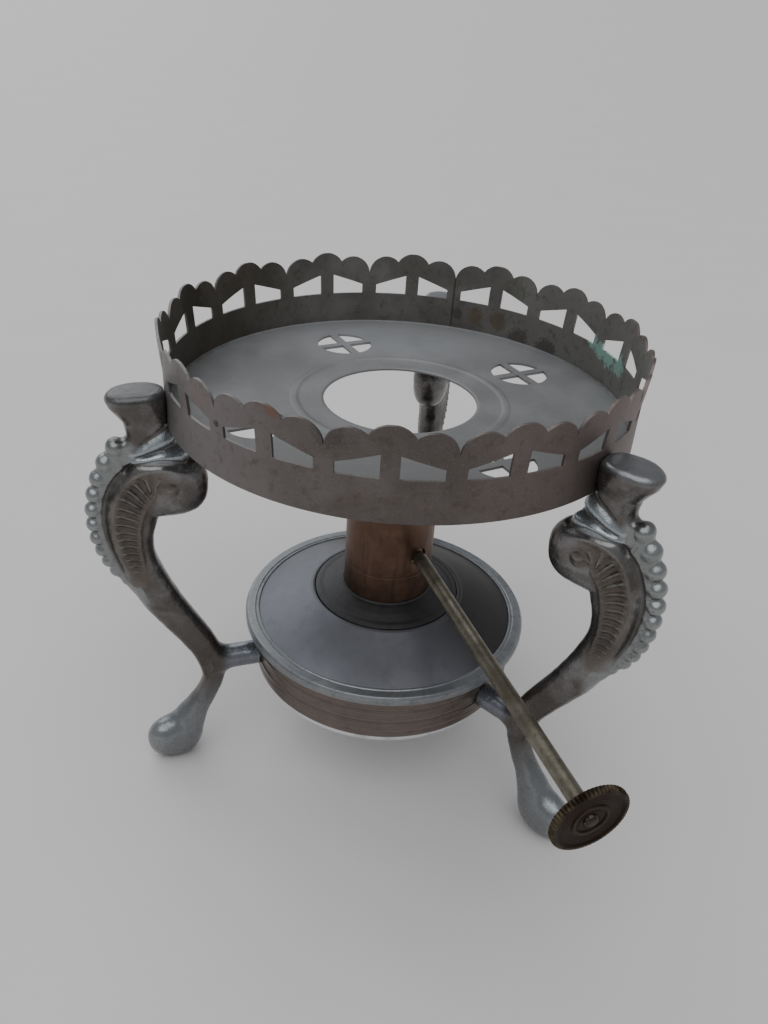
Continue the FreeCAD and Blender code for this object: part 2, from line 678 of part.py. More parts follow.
def make_winder():
    """Rod and spindle in one turning, three spur wheels, a stop collar and the
    knurled thumbwheel, all about the rod's axis."""
    shaft = turned("winder_shaft", [
        ("0", "spindle_end"),
        ("spindle_radius", "spindle_end"),
        ("spindle_radius", "rod_start"),
        ("rod_radius", "rod_start"),
        ("rod_radius", "rod_end"),
        ("spindle_radius", "rod_end"),
        ("spindle_radius", "rod_end + wheel_thick - wheel_recess"),
        ("peen_radius", "rod_end + wheel_thick - wheel_recess"),
        ("peen_radius - peen_round", "rod_end + wheel_thick - wheel_recess + peen_height"),
        ("0", "rod_end + wheel_thick - wheel_recess + peen_height"),
    ])
    shaft.Placement = winder_frame()
    for number, word in enumerate(("inner", "middle", "outer")):
        spur = new_body(f"spur_wheel_{word}")
        sketch = sketch_on(spur, "XY_Plane", f"spur_{word}_disc")
        circle(sketch, "spur_radius")
        circle(sketch, "spindle_radius")
        padded(spur, sketch, "spur_thick")
        gap = sketch_on(spur, "XY_Plane", f"spur_{word}_gap")
        circle(gap, "spur_gap", "spur_radius + spur_gap_offset")
        repeated(spur, pocketed(spur, gap, "spur_thick", reverse=True), "spur_teeth")
        spur.Placement = winder_frame(spur_place(number))
    stop = turned("shaft_collar", [
        ("spindle_radius", "0"), ("stop_radius", "0"),
        ("stop_radius", "stop_length"), ("spindle_radius", "stop_length")])
    stop.Placement = winder_frame(size("stop_start"))
    wheel = turned("thumbwheel", [
        ("spindle_radius", "0"),
        ("wheel_radius", "0"),
        ("wheel_radius", "wheel_thick"),
        ("wheel_radius - wheel_rim", "wheel_thick"),
        ("wheel_radius - wheel_rim - wheel_dish", "wheel_thick - wheel_recess"),
        ("wheel_ring_outer", "wheel_thick - wheel_recess"),
        ("wheel_ring_outer", "wheel_thick"),
        ("wheel_ring_inner", "wheel_thick"),
        ("wheel_ring_inner", "wheel_thick - wheel_recess"),
        ("spindle_radius", "wheel_thick - wheel_recess"),
    ])
    knurl = sketch_on(wheel, "XY_Plane", "knurl")
    circle(knurl, "knurl_half_width", "wheel_radius + knurl_offset")
    repeated(wheel, pocketed(wheel, knurl, "wheel_thick", reverse=True), "knurls")
    wheel.Placement = winder_frame(size("rod_end"))


def check_document():
    for item in doc.Objects:
        if {"Invalid", "Error"} & set(item.State):
            raise RuntimeError(f"{item.Name} failed: {item.State}")


def sub_parts():
    bodies = [o for o in doc.Objects if o.isDerivedFrom("PartDesign::Body")]
    others = [doc.getObject(n) for n in ("seam_rivets", "outer_bush", "inner_bush")]
    return bodies + others


def write_parts():
    os.makedirs("parts", exist_ok=True)
    for item in sub_parts():
        if item.Shape.isNull() or not item.Shape.isValid():
            raise RuntimeError(f"{item.Label} has no valid shape")
        item.Shape.exportStep(f"parts/{item.Label}.step")
        solids = len(item.Shape.Solids)
        print(f"{item.Label}: {solids} solid(s), {item.Shape.Volume:.1f} mm3")


fill_sheet()
make_gallery_band()
make_seam_rivets()
make_top_plate()
make_holder_ring()
for leg in ("leg_left", "leg_right", "leg_back"):
    make_leg(leg)
make_font()
make_head()
make_bush("outer_bush", "bush_start", "bush_length")
make_bush("inner_bush", "inner_bush_start", "inner_bush_length")
make_winder()
doc.recompute()
check_document()
write_parts()
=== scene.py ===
import json
import math

import bmesh
import bpy
import numpy as np
from mathutils import Matrix, Vector, noise


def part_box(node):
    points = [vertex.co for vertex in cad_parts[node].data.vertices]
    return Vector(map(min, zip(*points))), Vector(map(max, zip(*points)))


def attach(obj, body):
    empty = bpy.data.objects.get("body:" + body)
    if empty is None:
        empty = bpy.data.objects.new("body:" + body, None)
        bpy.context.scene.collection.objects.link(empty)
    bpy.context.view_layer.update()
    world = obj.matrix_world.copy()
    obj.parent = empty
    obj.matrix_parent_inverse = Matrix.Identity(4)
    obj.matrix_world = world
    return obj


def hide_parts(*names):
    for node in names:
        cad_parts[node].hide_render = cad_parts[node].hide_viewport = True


# Looks of a spirit burner in its three-legged kettle stand. Lengths inside the
# shape functions are millimetres and become metres when a mesh is made.

MM = 0.001
ON_AXIS = 1e-6
SEED = 7

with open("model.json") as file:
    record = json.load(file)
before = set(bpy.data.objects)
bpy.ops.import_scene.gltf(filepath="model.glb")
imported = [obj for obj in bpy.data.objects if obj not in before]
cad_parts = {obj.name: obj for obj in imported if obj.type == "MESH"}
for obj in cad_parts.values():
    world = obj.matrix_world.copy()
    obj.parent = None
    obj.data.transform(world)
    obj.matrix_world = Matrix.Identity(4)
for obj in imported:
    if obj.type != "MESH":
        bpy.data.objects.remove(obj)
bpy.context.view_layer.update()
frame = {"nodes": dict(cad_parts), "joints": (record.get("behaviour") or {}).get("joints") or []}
joints = {j["name"]: j for j in frame["joints"]}


def low(node):
    """The lowest corner of a node's box, in millimetres."""
    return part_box(node)[0] / MM


def high(node):
    """The highest corner of a node's box, in millimetres."""
    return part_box(node)[1] / MM


def half_width(node):
    """Half a node's breadth, which is its radius when it is round."""
    return (high(node).x - low(node).x) / 2


# ------------------------------------------------------------------ mesh tools

def piece_from(name, vertices, faces, smooth_angle=35.0):
    """A mesh object from places in millimetres; edges sharper than the angle stay sharp."""
    mesh = bpy.data.meshes.new(name)
    mesh.from_pydata((np.asarray(vertices) * MM).tolist(), [], faces)
    mesh.validate()
    mesh.polygons.foreach_set("use_smooth", [True] * len(mesh.polygons))
    mesh.set_sharp_from_angle(angle=math.radians(smooth_angle))
    piece = bpy.data.objects.new(name, mesh)
    bpy.context.scene.collection.objects.link(piece)
    return piece


def point_values(piece, name, values):
    """Stores one number per vertex, which a material reads by name."""
    attribute = piece.data.attributes.new(name, "FLOAT", "POINT")
    attribute.data.foreach_set("value", np.asarray(values, np.float32))


def even_normals(piece):
    """Keeps broad faces flat in the shading beside their rounded edges."""
    modifier = piece.modifiers.new("even_normals", "WEIGHTED_NORMAL")
    modifier.keep_sharp = True


def eased_edges(piece, width, material_index=1, angle=50.0, segments=2):
    """Rounds the sheet's cut edges and gives them their own worn material."""
    modifier = piece.modifiers.new("eased_edges", "BEVEL")
    modifier.width = width * MM
    modifier.segments = segments
    modifier.limit_method = "ANGLE"
    modifier.angle_limit = math.radians(angle)
    modifier.material = material_index
    modifier.harden_normals = False


def rounded(corners, steps=4, support=0.5):
    """A closed profile with arcs at its corners. Corners are (radius, height,
    fillet); the answer is (radius, height, edge), with edge 1 on the arcs."""
    places = []
    count = len(corners)
    for number, (x, z, fillet) in enumerate(corners):
        here = Vector((x, z))
        if fillet <= 0:
            places.append((x, z, 0.0))
            continue
        before = Vector(corners[number - 1][:2]) - here
        after = Vector(corners[(number + 1) % count][:2]) - here
        half = before.angle(after) / 2
        reach = min(fillet / math.tan(half), before.length * 0.45, after.length * 0.45)
        radius = reach * math.tan(half)
        before.normalize()
        after.normalize()
        centre = here + (before + after).normalized() * (radius / math.sin(half))
        start, end = here + before * reach - centre, here + after * reach - centre
        spare = min(support, (Vector(corners[number - 1][:2]) - here).length * 0.5 - reach)
        if spare > 0.02:
            place = here + before * (reach + spare)
            places.append((place.x, place.y, 0.0))
        for step in range(steps + 1):
            share = step / steps
            swing = start.lerp(end, share).normalized() * radius + centre
            places.append((swing.x, swing.y, 1.0))
        spare = min(support, (Vector(corners[(number + 1) % count][:2]) - here).length * 0.5 - reach)
        if spare > 0.02:
            place = here + after * (reach + spare)
            places.append((place.x, place.y, 0.0))
    return places


def turned_faces(profile, segments):
    """Quads round a closed profile whose first column is the radius, with none on the axis."""
    faces, rows = [], len(profile)
    for turn in range(segments):
        following = (turn + 1) % segments
        for row in range(rows):
            ahead = (row + 1) % rows
            if max(profile[row][0], profile[ahead][0]) > ON_AXIS:
                faces.append((
                    turn * rows + row, following * rows + row,
                    following * rows + ahead, turn * rows + ahead))
    return faces


def prism_faces(first, count):
    """Faces of a prism whose lower outline starts at vertex first, its upper one after it."""
    lower, upper = range(first, first + count), range(first + count, first + 2 * count)
    faces = [tuple(reversed(lower)), tuple(upper)]
    for n in range(count):
        m = (n + 1) % count
        faces.append((lower[n], lower[m], upper[m], upper[n]))
    return faces


def cut_out(piece, name, cutter):
    """Cuts one mesh out of another for good."""
    cut = piece.modifiers.new(name, "BOOLEAN")
    cut.operation = "DIFFERENCE"
    cut.solver = "EXACT"
    cut.object = cutter
    settle(piece)
    bpy.data.objects.remove(cutter)


def lathe(name, corners, segments=192, place=None, steps=4, wobble=None):
    """A solid of revolution about Z from a rounded closed profile. wobble(angle,
    radius, height) may shift a place by a small radial distance."""
    profile = rounded(corners, steps)
    vertices, edge = [], []
    for turn in range(segments):
        angle = 2 * math.pi * turn / segments
        for x, z, value in profile:
            radius = max(x, 0.0)
            if wobble is not None and radius > 0:
                radius += wobble(angle, radius, z)
            vertices.append((radius * math.cos(angle), radius * math.sin(angle), z))
            edge.append(value)
    piece = piece_from(name, vertices, turned_faces(profile, segments))
    point_values(piece, "edge", edge)
    tidy_mesh(piece)
    if place is not None:
        piece.data.transform(place)
    even_normals(piece)
    return piece


def tidy_mesh(piece):
    """Joins the doubled vertices on the axis and turns every face outwards."""
    work = bmesh.new()
    work.from_mesh(piece.data)
    bmesh.ops.remove_doubles(work, verts=work.verts, dist=1e-6)
    bmesh.ops.dissolve_degenerate(work, dist=1e-7, edges=work.edges)
    bmesh.ops.recalc_face_normals(work, faces=work.faces)
    work.to_mesh(piece.data)
    work.free()


# ------------------------------------------------------------- material tools

class Paint:
    """A material's node tree, with short ways to add and join its nodes."""

    def __init__(self, name):
        self.material = bpy.data.materials.new(name)
        self.material.use_nodes = True
        self.tree = self.material.node_tree
        self.shader = self.tree.nodes["Principled BSDF"]
        coordinates = self.tree.nodes.new("ShaderNodeTexCoord")
        self.place = coordinates.outputs["Object"]

    def node(self, kind, **values):
        """Adds a node and sets its properties."""
        item = self.tree.nodes.new(kind)
        for key, value in values.items():
            setattr(item, key, value)
        return item

    def join(self, output, target):
        """Links an output to an input."""
        self.tree.links.new(output, target)

    def feed(self, target, value):
        """Sets an input to a plain value or links it."""
        if isinstance(value, (int, float, tuple)):
            target.default_value = value
        else:
            self.join(value, target)

    def math(self, operation, first, second=0.0, clamp=False):
        item = self.node("ShaderNodeMath", operation=operation, use_clamp=clamp)
        self.feed(item.inputs[0], first)
        self.feed(item.inputs[1], second)
        return item.outputs[0]

    def noise(self, size, detail=3.0, roughness=0.5, place=None, stretch=None):
        """Noise whose features are about size millimetres."""
        item = self.node("ShaderNodeTexNoise")
        item.inputs["Scale"].default_value = 1.0
        item.inputs["Detail"].default_value = detail
        item.inputs["Roughness"].default_value = roughness
        scale = self.node("ShaderNodeVectorMath", operation="MULTIPLY")
        self.join(place or self.place, scale.inputs[0])
        wide = stretch or (1.0, 1.0, 1.0)
        scale.inputs[1].default_value = tuple(w / (size * MM) for w in wide)
        self.join(scale.outputs[0], item.inputs["Vector"])
        return item.outputs["Fac"]

    def steps(self, value, lowest, highest):
        """The share of the way from lowest to highest, smooth and clamped."""
        item = self.node("ShaderNodeMapRange", interpolation_type="SMOOTHSTEP")
        self.join(value, item.inputs["Value"])
        item.inputs["From Min"].default_value = lowest
        item.inputs["From Max"].default_value = highest
        return item.outputs["Result"]

    def mix(self, share, first, second):
        """Goes from the first colour to the second by a share."""
        item = self.node("ShaderNodeMix", data_type="RGBA")
        self.feed(item.inputs["Factor"], share)
        for socket, value in ((item.inputs[6], first), (item.inputs[7], second)):
            if isinstance(value, tuple):
                socket.default_value = (*value, 1.0)
            else:
                self.join(value, socket)
        return item.outputs[2]

    def steps_below(self, value, full, none):
        """Share 1 where the value is under full, falling to 0 at none."""
        return self.steps(self.math("MULTIPLY", value, -1.0), -none, -full)

    def over(self, colour, tone, mask, share):
        """The colour with a share of the tone laid over it where the mask is 1."""
        return self.mix(self.math("MULTIPLY", mask, share), colour, tone)

    def axes(self):
        """The object's own coordinates, as three separate values in metres."""
        split = self.node("ShaderNodeSeparateXYZ")
        self.join(self.place, split.inputs[0])
        return split.outputs[0], split.outputs[1], split.outputs[2]

    def axis_distance(self, x, y):
        """How far a place is from the object's Z axis."""
        square = self.math("ADD", self.math("MULTIPLY", x, x), self.math("MULTIPLY", y, y))
        return self.math("SQRT", square)

    def attribute(self, name):
        """A value stored on the mesh, by its name."""
        return self.node("ShaderNodeAttribute", attribute_name=name).outputs["Fac"]

    def around_axis(self):
        """Coordinates for turned lines: long round the axis, fine along and
        across it. They have no seam."""
        x, y, z = self.axes()
        radius = self.axis_distance(x, y)
        joined = self.node("ShaderNodeCombineXYZ")
        self.join(self.math("DIVIDE", x, radius), joined.inputs[0])
        self.join(self.math("DIVIDE", y, radius), joined.inputs[1])
        self.join(self.math("ADD", z, radius), joined.inputs[2])
        return joined.outputs[0]

    def turned_lines(self, spacing):
        """Fine lines such as a lathe leaves, about spacing millimetres apart."""
        item = self.node("ShaderNodeTexNoise")
        item.inputs["Scale"].default_value = 1.0
        item.inputs["Detail"].default_value = 2.0
        scale = self.node("ShaderNodeVectorMath", operation="MULTIPLY")
        self.join(self.around_axis(), scale.inputs[0])
        scale.inputs[1].default_value = (1.3, 1.3, 1.0 / (spacing * MM))
        self.join(scale.outputs[0], item.inputs["Vector"])
        return item.outputs["Fac"]

    def height(self, value, *more):
        """Sum of (value, depth in millimetres) as a bump on the shader."""
        total = None
        for height, depth in (value, *more):
            part = self.math("MULTIPLY", height, depth * MM)
            total = part if total is None else self.math("ADD", total, part)
        bump = self.node("ShaderNodeBump")
        bump.inputs["Strength"].default_value = 1.0
        bump.inputs["Distance"].default_value = 1.0
        self.join(total, bump.inputs["Height"])
        self.join(bump.outputs["Normal"], self.shader.inputs["Normal"])

    def surface(self, colour, roughness, metallic):
        self.feed(self.shader.inputs["Base Color"], colour)
        self.feed(self.shader.inputs["Roughness"], roughness)
        self.feed(self.shader.inputs["Metallic"], metallic)
        return self.material


def shade(colour, factor):
    """A colour made lighter or darker by a factor."""
    return tuple(min(1.0, c * factor) for c in colour)


def satin_metal(name, base, stain, bright, roughness=0.42, metallic=0.85,
                blotch=9.0, grain=0.35, lines=None, edge_share=0.5, stain_share=0.5):
    """Old plated sheet: cloudy tone, stains, fine grain, worn edges."""
    paint = Paint(name)
    cloud = paint.noise(blotch, 4.0, 0.6)
    fine = paint.noise(grain, 2.0, 0.6)
    speck = paint.noise(blotch * 0.22, 3.0, 0.7)
    colour = paint.mix(paint.steps(cloud, 0.35, 0.7), base, shade(base, 1.22))
    stained = paint.math("MULTIPLY", paint.steps(speck, 0.52, 0.72), stain_share)
    colour = paint.mix(stained, colour, stain)
    colour = paint.over(colour, shade(base, 1.5), paint.steps(fine, 0.45, 0.75), 0.25)
    if edge_share > 0:
        worn = paint.math(
            "MULTIPLY", paint.attribute("edge"), paint.steps(paint.noise(2.6, 3.0), 0.30, 0.70))
        colour = paint.over(colour, bright, worn, edge_share)
    rough = paint.math("ADD", paint.math("MULTIPLY", cloud, 0.22), roughness - 0.11)
    heights = [(fine, 0.012), (speck, 0.02)]
    if lines:
        heights.append((paint.turned_lines(lines), 0.014))
    paint.height(*heights)
    return paint.surface(colour, rough, metallic)


def edge_metal(name, bright, dull):
    """Bare metal on a sheet's cut edge, dull where dirt has settled."""
    paint = Paint(name)
    patch = paint.steps(paint.noise(2.2, 3.0), 0.38, 0.6)
    colour = paint.mix(patch, dull, bright)
    paint.height((paint.noise(0.3, 2.0), 0.02))
    return paint.surface(colour, paint.math("SUBTRACT", 0.55, paint.math("MULTIPLY", patch, 0.2)), 0.9)


def give(piece, *wanted):
    """Puts materials on a piece in the order of its slots."""
    piece.data.materials.clear()
    for material in wanted:
        piece.data.materials.append(material)


# ------------------------------------------------------------------- the stage

CAMERA_PLACE = Vector((-9.60, -209.81, 205.78)) * MM
CAMERA_YAW, CAMERA_PITCH, CAMERA_ROLL = (math.radians(a) for a in (2.0355, 31.502, 4.098))
CAMERA_LENS = 30.59


def make_camera():
    """The camera looks along +Y and down, turned a little about its own axis."""
    forward = Vector((
        math.sin(CAMERA_YAW) * math.cos(CAMERA_PITCH),
        math.cos(CAMERA_YAW) * math.cos(CAMERA_PITCH),
        -math.sin(CAMERA_PITCH)))
    level = Vector((math.cos(CAMERA_YAW), -math.sin(CAMERA_YAW), 0))
    above = level.cross(forward)
    side = level * math.cos(CAMERA_ROLL) + above * math.sin(CAMERA_ROLL)
    upright = above * math.cos(CAMERA_ROLL) - level * math.sin(CAMERA_ROLL)
    data = bpy.data.cameras.new("camera")
    data.lens = CAMERA_LENS
    data.sensor_width = 36.0
    data.clip_start = 0.01
    camera = bpy.data.objects.new("camera", data)
    bpy.context.scene.collection.objects.link(camera)
    turn = Matrix((side, upright, -forward)).transposed().to_4x4()
    camera.matrix_world = Matrix.Translation(CAMERA_PLACE) @ turn
    bpy.context.scene.camera = camera


def soft_light(name, azimuth, elevation, spread, strength, colour):
    """Even light from a wide round patch of the room, at a bearing and height in degrees."""
    data = bpy.data.lights.new(name, "SUN")
    data.angle = math.radians(spread)
    data.energy = strength
    data.color = colour
    light = bpy.data.objects.new(name, data)
    bearing, rise = math.radians(azimuth), math.radians(elevation)
    towards = Vector((
        math.cos(bearing) * math.cos(rise), math.sin(bearing) * math.cos(rise), math.sin(rise)))
    light.rotation_euler = towards.to_track_quat("Z", "Y").to_euler()
    light.location = towards * LIGHT_DISTANCE
    bpy.context.scene.collection.objects.link(light)


FLOOR_HALF, FLOOR_RISE_FROM, FLOOR_RISE, LIGHT_DISTANCE = 60.0, 3.0, 5.5, 2.0


def make_floor():
    """Plain pale floor with a faint unevenness in its tone. Far behind the
    object it rises gently, so that it fills the view."""
    side, start, steps = FLOOR_HALF / MM, FLOOR_RISE_FROM / MM, 16
    rows = [(-side, 0.0)]
    for step in range(steps + 1):
        share = step / steps
        rows.append((start + (side - start) * share, FLOOR_RISE / MM * share ** 2))
    vertices = [(x, y, z) for y, z in rows for x in (-side, side)]
    faces = [(2 * n, 2 * n + 1, 2 * n + 3, 2 * n + 2) for n in range(len(rows) - 1)]
    floor = piece_from("floor", vertices, faces)
    paint = Paint("floor_pale")
    tone = paint.noise(60.0, 2.0)
    colour = paint.mix(tone, (0.595, 0.568, 0.552), (0.635, 0.608, 0.592))
    paint.height((paint.noise(2.0, 3.0), 0.03))
    give(floor, paint.surface(colour, 0.6, 0.0))


def make_lights():
    """A bright ceiling above the front, paler windows behind to the left, dim room round them."""
    world = bpy.data.worlds.new("world")
    world.use_nodes = True
    background = world.node_tree.nodes["Background"]
    background.inputs["Color"].default_value = (0.92, 0.95, 1.0, 1.0)
    background.inputs["Strength"].default_value = 0.40
    bpy.context.scene.world = world
    soft_light("ceiling", -115.0, 74.0, 75.0, 1.9, (0.97, 0.985, 1.0))
    soft_light("window", 118.0, 34.0, 48.0, 0.75, (0.93, 0.97, 1.0))


# ---------------------------------------------------------------- the gallery

MOTIFS = 14
MOTIF_PHASE = 86.5
BAND_RADIUS, BAND_WALL = 60.0, 0.65
WINDOW_SILL = 121.4
FLARE_START = 122.2
WINDOW_NEAR, WINDOW_FAR = 2.0, 11.3
WINDOW_TALL, WINDOW_SHORT = 127.1, 124.1
LOBE_NOTCH, LOBE_NOTCH_LEVEL = 4.7, 131.0
MOTIF_NOTCH_LEVEL = 127.4
MIDDLE_LOBE, SIDE_LOBE = 5.5, 5.2
SEAM_AZIMUTH = 73.6


def lobe_top(across, half):
    """Height of the scalloped edge at a distance from a motif's middle."""
    across = abs(across)
    if across <= LOBE_NOTCH:
        centre = LOBE_NOTCH_LEVEL - math.sqrt(MIDDLE_LOBE ** 2 - LOBE_NOTCH ** 2)
        return centre + math.sqrt(MIDDLE_LOBE ** 2 - across ** 2)
    start, end = Vector((LOBE_NOTCH, LOBE_NOTCH_LEVEL)), Vector((half, MOTIF_NOTCH_LEVEL))
    chord = end - start
    up = Vector((-chord.y, chord.x)).normalized()
    centre = (start + end) / 2 - up * math.sqrt(SIDE_LOBE ** 2 - (chord.length / 2) ** 2)
    return centre.y + math.sqrt(max(SIDE_LOBE ** 2 - (across - centre.x) ** 2, 0.0))


def window_top(across):
    """Height of a window's slanting top at a distance from its motif's middle."""
    share = (abs(across) - WINDOW_NEAR) / (WINDOW_FAR - WINDOW_NEAR)
    share = min(max(share, 0.0), 1.0)
    return WINDOW_TALL + (WINDOW_SHORT - WINDOW_TALL) * share


def make_gallery_band():
    """The pierced band as one bent sheet, a little uneven as hand work is."""
    top, bottom = high("gallery_band").z - 0.12, low("gallery_band").z
    foot = BAND_RADIUS
    lip = half_width("gallery_band")
    half = math.pi * foot / MOTIFS
    inner = [0.0, 1.05, WINDOW_NEAR, 3.0, 3.9, LOBE_NOTCH]
    outer = [5.3, 6.1, 7.1, 8.2, 9.2, 10.1, WINDOW_FAR, 12.0, 12.6, 13.05, 13.32, half]
    right = inner + outer
    columns = [-x for x in reversed(right[1:])] + right[:-1]
    levels = (9, 5, 5)
    rng = np.random.default_rng(SEED)
    vertices, grid = [], []
    for motif in range(MOTIFS):
        lean = rng.uniform(-0.3, 0.3, 3)
        slip = rng.uniform(-0.12, 0.12, 4)
        for across in columns:
            angle = math.radians(MOTIF_PHASE + motif * 360.0 / MOTIFS) + (across / foot)
            lobe = 1 if abs(across) <= LOBE_NOTCH else (0 if across < 0 else 2)
            peak = min(lobe_top(across, half) + slip[lobe], top)
            sill = WINDOW_SILL + slip[3] * 0.5
            head = window_top(across) + slip[3]
            stops = (bottom, sill, head, peak)
            row = []
            for zone, count in enumerate(levels):
                first = 0 if zone == 0 else 1
                for step in range(first, count + 1):
                    z = stops[zone] + (stops[zone + 1] - stops[zone]) * step / count
                    rise = max(z - FLARE_START, 0.0) / (top - FLARE_START)
                    radius = foot + (lip - foot) * rise
                    radius += lean[lobe] * rise ** 2 * 0.8
                    radius += 0.12 * math.sin(3 * angle + 0.7) * min(1.0, (z - bottom) / 6.0)
                    row.append(len(vertices))
                    vertices.append((radius * math.cos(angle), radius * math.sin(angle), z))
            grid.append(row)
    faces = []
    sill_row, head_row = levels[0], levels[0] + levels[1]
    total = len(grid)
    for number in range(total):
        here, following = grid[number], grid[(number + 1) % total]
        a = columns[number % len(columns)]
        b = columns[(number + 1) % len(columns)] if (number + 1) % len(columns) else half
        middle = abs((a + b) / 2)
        for row in range(len(here) - 1):
            pierced = WINDOW_NEAR < middle < WINDOW_FAR and sill_row <= row < head_row
            if not pierced:
                faces.append((here[row], following[row], following[row + 1], here[row + 1]))
    piece = piece_from("gallery_band_sheet", vertices, faces)
    work = bmesh.new()
    work.from_mesh(piece.data)
    loose = [v for v in work.verts if not v.link_faces]
    bmesh.ops.delete(work, geom=loose, context="VERTS")
    work.to_mesh(piece.data)
    work.free()
    sheet = piece.modifiers.new("sheet", "SOLIDIFY")
    sheet.thickness = BAND_WALL * MM
    sheet.offset = -1.0
    sheet.use_even_offset = True
    eased_edges(piece, 0.09)
    even_normals(piece)
    give(piece, band_metal(), edge_metal("band_edge", (0.34, 0.32, 0.28), (0.075, 0.066, 0.056)))
    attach(piece, "stand")
    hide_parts("gallery_band")


def band_metal():
    """Grey-brown satin outside, olive grey inside, stains and a green patch, with painted light and
    painted shade by side: lighter on the left and darker on the right outside, lighter on the right and
    darker on the left inside.
    """
    paint = Paint("band_satin")
    cloud = paint.noise(14.0, 4.0, 0.6)
    fine = paint.noise(0.4, 2.0, 0.7)
    speck = paint.noise(2.4, 4.0, 0.7)
    x, y, _ = paint.axes()
    facing = paint.node("ShaderNodeNewGeometry")
    outwards = paint.node("ShaderNodeVectorMath", operation="DOT_PRODUCT")
    paint.join(facing.outputs["Normal"], outwards.inputs[0])
    paint.join(paint.place, outwards.inputs[1])
    inside = paint.steps(paint.math("MULTIPLY", outwards.outputs["Value"], -20.0), -0.2, 0.2)
    outside_tone = paint.mix(paint.steps(cloud, 0.35, 0.7), (0.106, 0.091, 0.084), (0.150, 0.131, 0.123))
    # Painted light: the outside of the band is made lighter on the left, where the light falls.
    left = paint.steps_below(x, -0.050, -0.010)
    outside_tone = paint.over(outside_tone, (0.215, 0.200, 0.196), left, 0.75)
    # Painted shade: the outside of the band is made darker and purple-brown on the right.
    right_side_shade = paint.steps(x, 0.0, 0.055)
    outside_tone = paint.over(outside_tone, (0.150, 0.112, 0.102), right_side_shade, 0.6)
    inside_tone = paint.mix(paint.steps(cloud, 0.35, 0.7), (0.150, 0.142, 0.128), (0.225, 0.214, 0.198))
    # Painted light on the right of the inside of the band, and painted shade on its left.
    inside_lit_side = paint.steps(x, 0.020, 0.050)
    inside_tone = paint.over(inside_tone, (0.275, 0.265, 0.250), inside_lit_side, 0.8)
    inside_shaded_side = paint.steps_below(x, -0.052, -0.020)
    inside_tone = paint.over(inside_tone, (0.070, 0.055, 0.034), inside_shaded_side, 0.6)
    colour = paint.mix(inside, outside_tone, inside_tone)
    colour = paint.over(colour, (0.070, 0.052, 0.038), paint.steps(speck, 0.50, 0.75), 0.5)
    colour = paint.over(colour, (0.26, 0.245, 0.23), paint.steps(fine, 0.5, 0.8), 0.3)
    seam = math.radians(SEAM_AZIMUTH)
    along_x = paint.math("MULTIPLY", x, -math.sin(seam))
    along_y = paint.math("MULTIPLY", y, math.cos(seam))
    beside = paint.math("ABSOLUTE", paint.math("ADD", along_x, along_y))
    line = paint.steps_below(beside, 0.00015, 0.00045)
    line = paint.math("MULTIPLY", line, paint.steps(y, 0.0, 0.01))
    colour = paint.over(colour, (0.040, 0.034, 0.028), line, 0.6)
    for middle, reach, grain, share, tone in BAND_STAINS:
        patch = patch_round(paint, middle, reach, grain)
        colour = paint.over(colour, tone, patch, share)
    paint.height((fine, 0.015), (speck, 0.03))
    rough = paint.math("ADD", paint.math("MULTIPLY", cloud, 0.2), 0.36)
    return paint.surface(colour, rough, 0.8)


# Stains on the band: middle, reach and grain in millimetres, share, colour.
VERDIGRIS, RUST = (0.38, 0.60, 0.52), (0.19, 0.100, 0.064)
BROWN, SOOT = (0.15, 0.110, 0.060), (0.050, 0.043, 0.036)
BAND_STAINS = [
    ((54.4, 25.0, 122.2), 3.0, 1.0, 0.95, VERDIGRIS),
    ((56.2, 21.4, 120.8), 3.2, 1.0, 0.95, VERDIGRIS),
    ((57.8, 16.8, 120.6), 4.2, 1.2, 0.95, VERDIGRIS),
    ((59.2, 11.0, 120.4), 4.2, 1.2, 0.90, VERDIGRIS),
    ((34.6, 49.4, 128.0), 5.0, 1.8, 0.35, (0.10, 0.115, 0.070)),
    ((-27.7, -54.7, 132.6), 2.4, 0.9, 0.65, RUST),
    ((-44.0, -42.0, 128.0), 4.5, 0.8, 0.18, RUST),
    ((24.0, 54.4, 117.4), 3.4, 0.9, 0.60, BROWN),
    ((31.0, 51.2, 117.2), 4.0, 0.9, 0.60, BROWN),
    ((37.0, 46.8, 113.2), 4.8, 0.8, 0.55, SOOT),
    ((44.6, 39.6, 113.0), 5.2, 0.8, 0.55, SOOT),
    ((18.4, 56.8, 117.0), 2.6, 1.0, 0.50, SOOT),
    ((-57.0, 18.0, 128.0), 8.0, 2.0, 0.50, SOOT),
    ((-16.0, -58.6, 130.2), 4.6, 0.8, 0.35, SOOT),
    ((-40.4, -45.1, 124.1), 1.3, 0.5, 0.85, SOOT),
]


def patch_round(paint, middle, reach, grain):
    """An irregular patch of about reach millimetres round a place."""
    away = paint.node("ShaderNodeVectorMath", operation="DISTANCE")
    paint.join(paint.place, away.inputs[0])
    away.inputs[1].default_value = tuple(c * MM for c in middle)
    share = paint.math("DIVIDE", away.outputs["Value"], reach * MM)
    ragged = paint.math("ADD", share, paint.math("MULTIPLY", paint.noise(grain, 4.0, 0.7), 1.6))
    return paint.steps_below(ragged, 1.35, 1.65)


PLATE_TOP, PLATE_HOLE, PLATE_BEAD = 112.4, 20.1, 27.7


